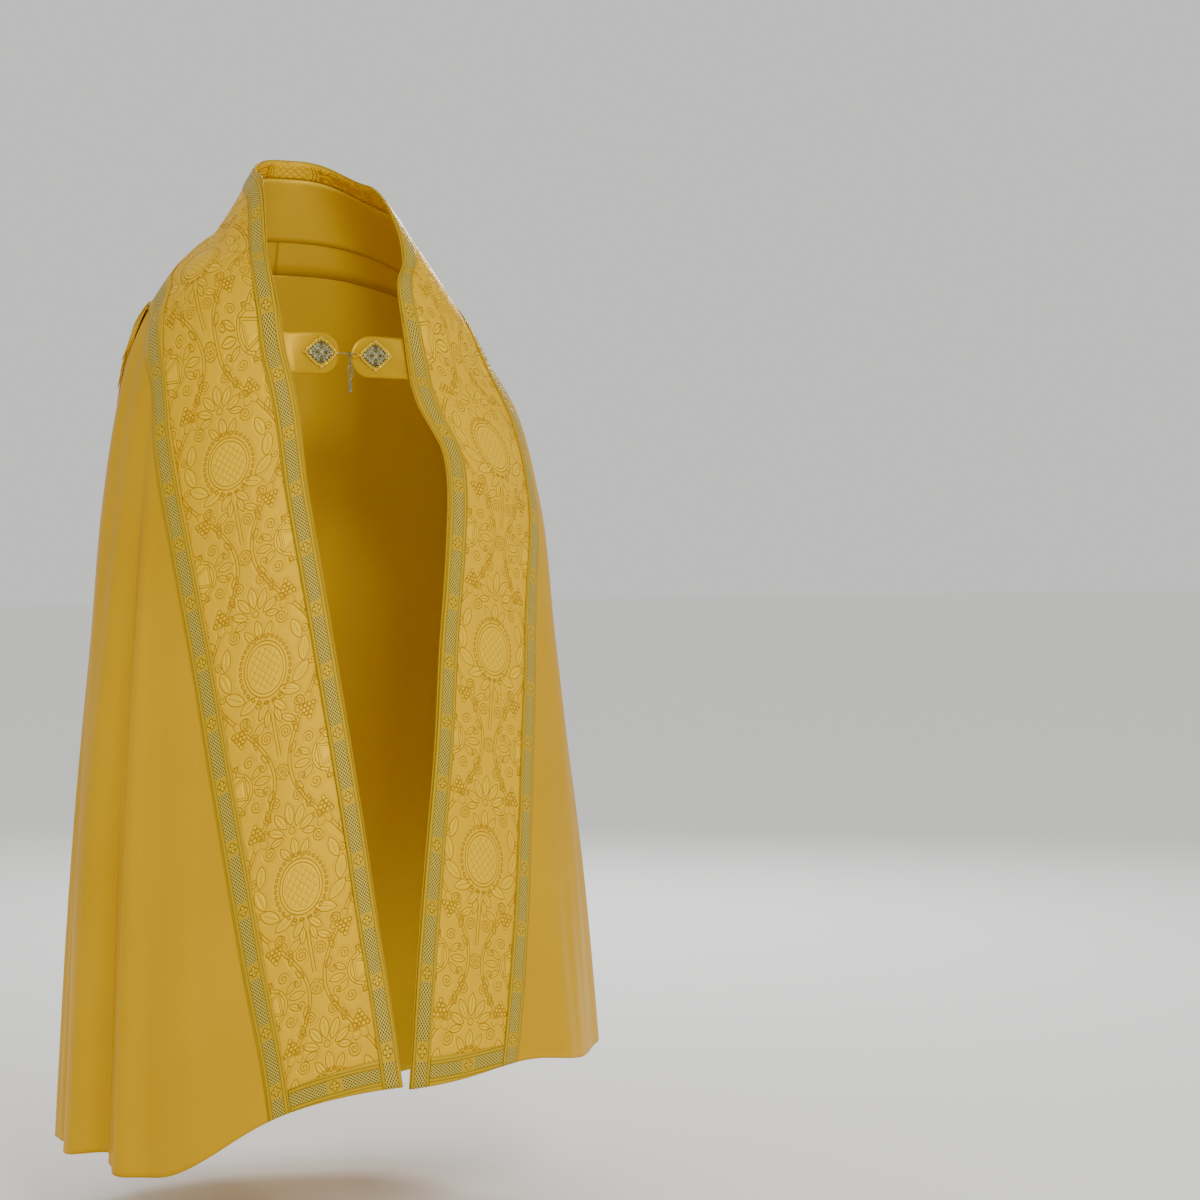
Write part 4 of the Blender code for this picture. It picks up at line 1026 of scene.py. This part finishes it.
def makeTab(side, name):
    at, heights = tabStart(side)
    middle = tabs["rows"] // 2
    hiddenColumns = tabs["behindColumns"]
    behind = bandPoints(side, at, np.linspace(tabs["behind"], 0, hiddenColumns), -tabs["clear"])
    plans = tabPlan(side, np.linspace(0, 1, 101))
    visible = np.linalg.norm(plans[-1] - plans[0])
    roundFrom = 1 - tabs["half"] / visible
    endTurns = np.radians(np.linspace(0, 84, tabs["endColumns"]))
    shares = np.concatenate([np.linspace(0.04, roundFrom, tabs["columns"] - tabs["endColumns"])[:-1],
                             roundFrom + (1 - roundFrom) * np.sin(endTurns)])
    columns = [behind[:, k] for k in range(hiddenColumns)]
    hidden = behind[:, -1, :2] - behind[middle, -1, :2]
    for share in shares:  # the rows draw together along the round end
        past = max(0.0, (share - roundFrom) / (1 - roundFrom))
        reach = math.sqrt(max(1 - past**2, 0))
        plan = tabPlan(side, share) + hidden * (1 - min(1.0, share / 0.5))
        columns.append(np.column_stack([plan, heights[middle] + (heights - heights[middle]) * reach]))
    grid = np.stack(columns, axis=1)
    x = lengths(grid, 1)[middle]
    x = (x - x[hiddenColumns - 1])[None, :]
    reach = np.linalg.norm(grid[0] - grid[-1], axis=-1) / 2
    up = np.linspace(1, -1, tabs["rows"])[:, None] * reach[None, :]
    pastTurn = x - (visible - tabs["half"])
    edgeAway = tabs["half"] - np.where(pastTurn > 0, np.hypot(pastTurn, up), np.abs(up))
    puff = np.clip(edgeAway / tabs["puffEdge"], 0, 1) ** 0.5 * np.clip(x / tabs["puffStart"], 0, 1)
    grid[..., 1] -= tabs["puff"] * puff
    uvs = np.stack([edgeAway, np.broadcast_to(x, edgeAway.shape)], axis=-1)
    if side == left:
        grid, uvs = grid[::-1], uvs[::-1]
    return sheetPiece(name, grid, uvs, tabs["wall"], cloths["tab"])


def tabCloth():
    # satin with a line of stitches 3 mm inside its edge; its colours are a darker copy of the cope's satin,
    # painted shade
    material = satin("satin tab", colours["tab"], colours["tabDeep"])
    tree = material.node_tree
    shader = tree.nodes["Principled BSDF"]
    away, along = uvSpot(tree)
    stitch = (away - 3.0).size().line(0.35) * (along.fold(1.6) - 0.35).do("MULTIPLY", 3.0, clamp=True)
    under = shader.inputs["Base Color"].links[0].from_socket
    tree.links.new(mixed(stitch * 0.8, under, colours["mustard"]), shader.inputs["Base Color"])
    return material


cloths["tab"] = tabCloth()
tabPieces = {side: makeTab(side, place + " tab") for side, place in sideNames.items()}


# The plates: a beaded, scalloped rim with a ring at each corner, and scrolls of wire inside it

plate = {"halfWide": 0.0255, "halfHigh": 0.0205, "power": 1.25, "rise": 2.0 * mm, "off": 1.2 * mm,
         "rim": 1.05 * mm, "bead": 1.45 * mm, "beads": 30, "wire": 0.48 * mm, "corner": 1.9 * mm,
         "scallops": 20, "scallop": 0.045, "rimAt": 0.97, "inner": (0.87, 0.86), "beadsAt": 0.985,
         "cornerPast": 0.4 * mm,
         # mm: a scroll's middle and size, then its start in degrees and its hand, in one quarter of the plate
         "scrolls": ((5.2, 4.2, 3.4, 200, -1), (11.6, 3.0, 3.0, 190, -1), (4.4, 10.2, 2.6, 250, 1),
                     (16.6, 1.9, 1.9, 160, 1), (9.2, 7.8, 2.0, 220, 1)),
         "turns": 1.5, "studs": ((10, 0), (-10, 0), (0, 8), (0, -8), (18.6, 0), (-18.6, 0)), "petals": 8}


def plateFrame(side):
    x, z = tabs[side]["plate"]
    line = tabPlan(side, np.linspace(0, 1, 401))
    k = int(np.argmin(np.abs(line[:, 0] - x)))
    along = line[k + 2] - line[k - 2]
    along *= np.sign(along[0]) / np.linalg.norm(along)
    out = np.array([along[1], -along[0], 0])
    return np.array([*line[k], z]) + out * tabs["puff"], np.array([*along, 0]), out


def fullTurn(count):
    return np.linspace(0, 2 * math.pi, count, endpoint=False)


def lozenge(turn, reach):
    # the plate's rounded lozenge, at this share of its size
    power = plate["power"]
    edge = (np.abs(np.cos(turn)) ** power + np.abs(np.sin(turn)) ** power) ** (-1 / power) * reach
    return plate["halfWide"] * edge * np.cos(turn), plate["halfHigh"] * edge * np.sin(turn)


def onPlate(side, x, y, lift=0.0):
    centre, along, out = plateFrame(side)
    x, y = np.asarray(x, float), np.asarray(y, float)
    reach = sum((np.abs(v) / plate[half]) ** plate["power"] for v, half in ((x, "halfWide"), (y, "halfHigh")))
    height = plate["off"] + plate["rise"] * (1 - np.minimum(reach, 1)) + lift
    return centre + along * x[..., None] + np.array([0, 0, 1]) * y[..., None] + out * height[..., None]


def ballMesh(centre, radius, around=10, rings=6):
    ball = bmesh.new()
    bmesh.ops.create_uvsphere(ball, u_segments=around, v_segments=rings, radius=radius,
                              matrix=Matrix.Translation(Vector(centre)))
    mesh = bpy.data.meshes.new("bead")
    ball.to_mesh(mesh)
    ball.free()
    return mesh


def spiral(x, y, size, start, hand):
    t = np.linspace(0, 1, 26)
    turn = math.radians(start) + hand * plate["turns"] * 2 * math.pi * t
    reach = size * (1 - 0.82 * t)
    return x + reach * np.cos(turn), y + reach * np.sin(turn)


def makePlate(side, place):
    def wireRing(x, y, radius, lift=0.0, sides=6):
        return tubeMesh("wire", onPlate(side, x, y, lift), radius, sides, closed=True)

    def ball(x, y, radius, lift, *fineness):
        return ballMesh(onPlate(side, x * mm, y * mm, lift * mm), radius * mm, *fineness)

    turn = fullTurn(160)
    x, y = lozenge(turn, (1 + plate["scallop"] * np.cos(plate["scallops"] * turn)) * plate["rimAt"])
    gold = [wireRing(x, y, plate["rim"], sides=8),
            wireRing(x * plate["inner"][0], y * plate["inner"][1], 0.6 * mm, -0.2 * mm)]
    x, y = lozenge(np.linspace(0, 2 * math.pi, 721), plate["beadsAt"])
    length = lengths(np.column_stack([x, y]), 0)
    at = np.linspace(0, length[-1], plate["beads"], endpoint=False)
    for spot in onPlate(side, np.interp(at, length, x), np.interp(at, length, y), 0.5 * mm):
        gold.append(ballMesh(spot, plate["bead"]))
    turn = fullTurn(22)
    for cornerX, cornerY in ((1, 0), (-1, 0), (0, 1), (0, -1)):
        x = cornerX * (plate["halfWide"] + plate["cornerPast"]) + plate["corner"] * np.cos(turn)
        y = cornerY * (plate["halfHigh"] + plate["cornerPast"]) + plate["corner"] * np.sin(turn)
        gold.append(wireRing(x, y, 0.5 * mm, 0.2 * mm))
    under = onPlate(side, *lozenge(fullTurn(96), np.linspace(0.03, 0.80, 8)[:, None]), -0.7 * mm)
    backing = sheetPiece(place + " backing", under, None, 0.4 * mm, cloths["tarnish"], closedRound=True)
    silver = []
    for scroll in plate["scrolls"]:
        x, y = spiral(*scroll)
        for across, up in ((1, 1), (1, -1), (-1, 1), (-1, -1)):
            silver.append(tubeMesh("scroll", onPlate(side, across * x * mm, up * y * mm), plate["wire"], 6))
    petal = fullTurn(16)
    for k in range(plate["petals"]):  # the rosette in the middle
        turn = 2 * math.pi * k / plate["petals"]
        out, aside = 2.7 + 1.3 * np.cos(petal), 0.8 * np.sin(petal)
        x, y = out * math.cos(turn) - aside * math.sin(turn), out * math.sin(turn) + aside * math.cos(turn)
        silver.append(wireRing(x * mm, y * mm, 0.36 * mm, 0.5 * mm))
    gold.append(ball(0.0, 0.0, 1.6, 0.9, 14, 8))
    gold += [ball(x, y, 0.95, 0.4) for x, y in plate["studs"]]
    return (joined(place + " plate", gold, cloths["gold"]),
            joined(place + " filigree", silver, cloths["silver"]), backing)


plates = {side: makePlate(side, place) for side, place in sideNames.items()}
print("morse made")


# The chain that hangs on the hook's wire: links, then a leaf-shaped link and a long pair of wires

chain = {"at": (-0.0125, -0.1820, -0.1680),
         # mm: how far down a link starts, its length, width and wire; if it is turned; its waist's share
         "links": ((-1.9, 5.4, 5.4, 0.70, True, 0),
                   *((2.6 + 3.3 * k, 4.6, 3.3, 0.55, k % 2 == 1, 0) for k in range(4)),
                   (15.8, 20.5, 8.6, 0.65, False, 0.12), (17.0, 15.0, 5.0, 0.50, False, 0.12),
                   (35.0, 20.5, 4.6, 0.60, False, 0), (36.0, 18.4, 1.6, 0.50, False, 0))}


def link(top, long, wide, wire, turned, waist):
    turn = fullTurn(28)
    across = wide / 2 * np.sin(turn) * (1 - waist * np.cos(turn) ** 2)
    down = top + long / 2 - long / 2 * np.cos(turn)
    x, y = (0 * across, across) if turned else (across, 0 * across)
    points = np.array(chain["at"]) + np.stack([x, y, -down], axis=1) * mm
    return tubeMesh("link", points, wire * mm, closed=True)


pendantChain = joined("pendant chain", [link(*row) for row in chain["links"]], cloths["steel"])
print("clasp made")


# What each piece goes with

for piece, node, slot in ((satinPiece, "cope_body", "satin"), (orphreys[right], "orphrey_right", "damask"),
                          (orphreys[left], "orphrey_left", "damask"), (neckFacing, "neck_facing", "damask"),
                          (collarLining, "collar_lining", "lining"), (hoodPiece, "hood", "damask"),
                          (hoodGalloon, "hood_galloon", "galloon"), (hoodFringe, "hood_fringe", "fringe"),
                          (tabPieces[right], "morse_tab_right", "satin"),
                          (tabPieces[left], "morse_tab_left", "satin"),
                          (plates[right][0], "clasp_plate_right", "metal"),
                          (plates[left][0], "clasp_plate_left", "metal"),
                          *((piece, node, "galloon") for node, piece in galloons.items())):
    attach(piece, garment)
    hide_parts(node)
for piece, slot in ((edgePiping, "galloon"), (fringeHead, "fringe"),
                    *((piece, "metal") for side in (right, left) for piece in plates[side][1:])):
    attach(piece, garment)
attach(pendantChain, pendant)
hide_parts("pendant_ring", "clasp_pendant")
for node, finish in (("clasp_hook", "steel"), ("clasp_eye", "gold")):
    mesh = bpy.data.objects[node].data
    mesh.materials.clear()
    mesh.materials.append(cloths[finish])

trims = {right: [galloons[node] for node in ("galloon_inner", "galloon_outer", "galloon_centre_back",
                                             "galloon_hem_right")] + [edgePiping],
         left: [galloons["galloon_hem_left"]]}


# Floor, light and camera

floorMesh = bpy.data.meshes.new("floor")
floorMesh.from_pydata([(-30, -30, 0), (30, -30, 0), (30, 30, 0), (-30, 30, 0)], [], [(0, 1, 2, 3)])
floor = newPiece("floor", floorMesh, newMaterial("floor", (0.95, 0.95, 0.94), 0.9, Specular_IOR_Level=0.0)[0])
floor.location.z = cadLow.z - 0.10

world = bpy.data.worlds.new("studio")
bpy.context.scene.world = world
world.use_nodes = True
sky = world.node_tree.nodes["Background"].inputs
sky["Color"].default_value = (1.0, 0.99, 0.97, 1)
sky["Strength"].default_value = 0.78


def areaLight(name, place, aim, size, power, colour=(1, 1, 1)):
    data = bpy.data.lights.new(name, "AREA")
    data.size, data.energy, data.color = size, power, colour
    lamp = bpy.data.objects.new(name, data)
    lamp.location = place
    lamp.rotation_euler = (Vector(aim) - Vector(place)).to_track_quat("-Z", "Y").to_euler()
    bpy.context.scene.collection.objects.link(lamp)


warmWhite = (1.0, 0.99, 0.97)
areaLight("key light", (-0.3, -4.3, 1.5), (0, 0, -0.5), 1.2, 92, warmWhite)
areaLight("side light", (3.6, -1.2, 0.9), (0, 0, -0.6), 0.9, 9)
areaLight("back light", (2.2, 3.2, 1.2), (0, 0, -0.6), 1.0, 88)

view = {"place": (-1.368, -3.759, -0.4125), "lens": 80, "below": 1.6, "past": 6.1}  # degrees
camera = bpy.data.objects.new("camera", bpy.data.cameras.new("camera"))
bpy.context.scene.collection.objects.link(camera)
bpy.context.scene.camera = camera
camera.data.lens = view["lens"]
camera.location = view["place"]
toAxis = math.atan2(-view["place"][0], -view["place"][1])
camera.rotation_euler = (math.radians(90 - view["below"]), 0, -toAxis - math.radians(view["past"]))
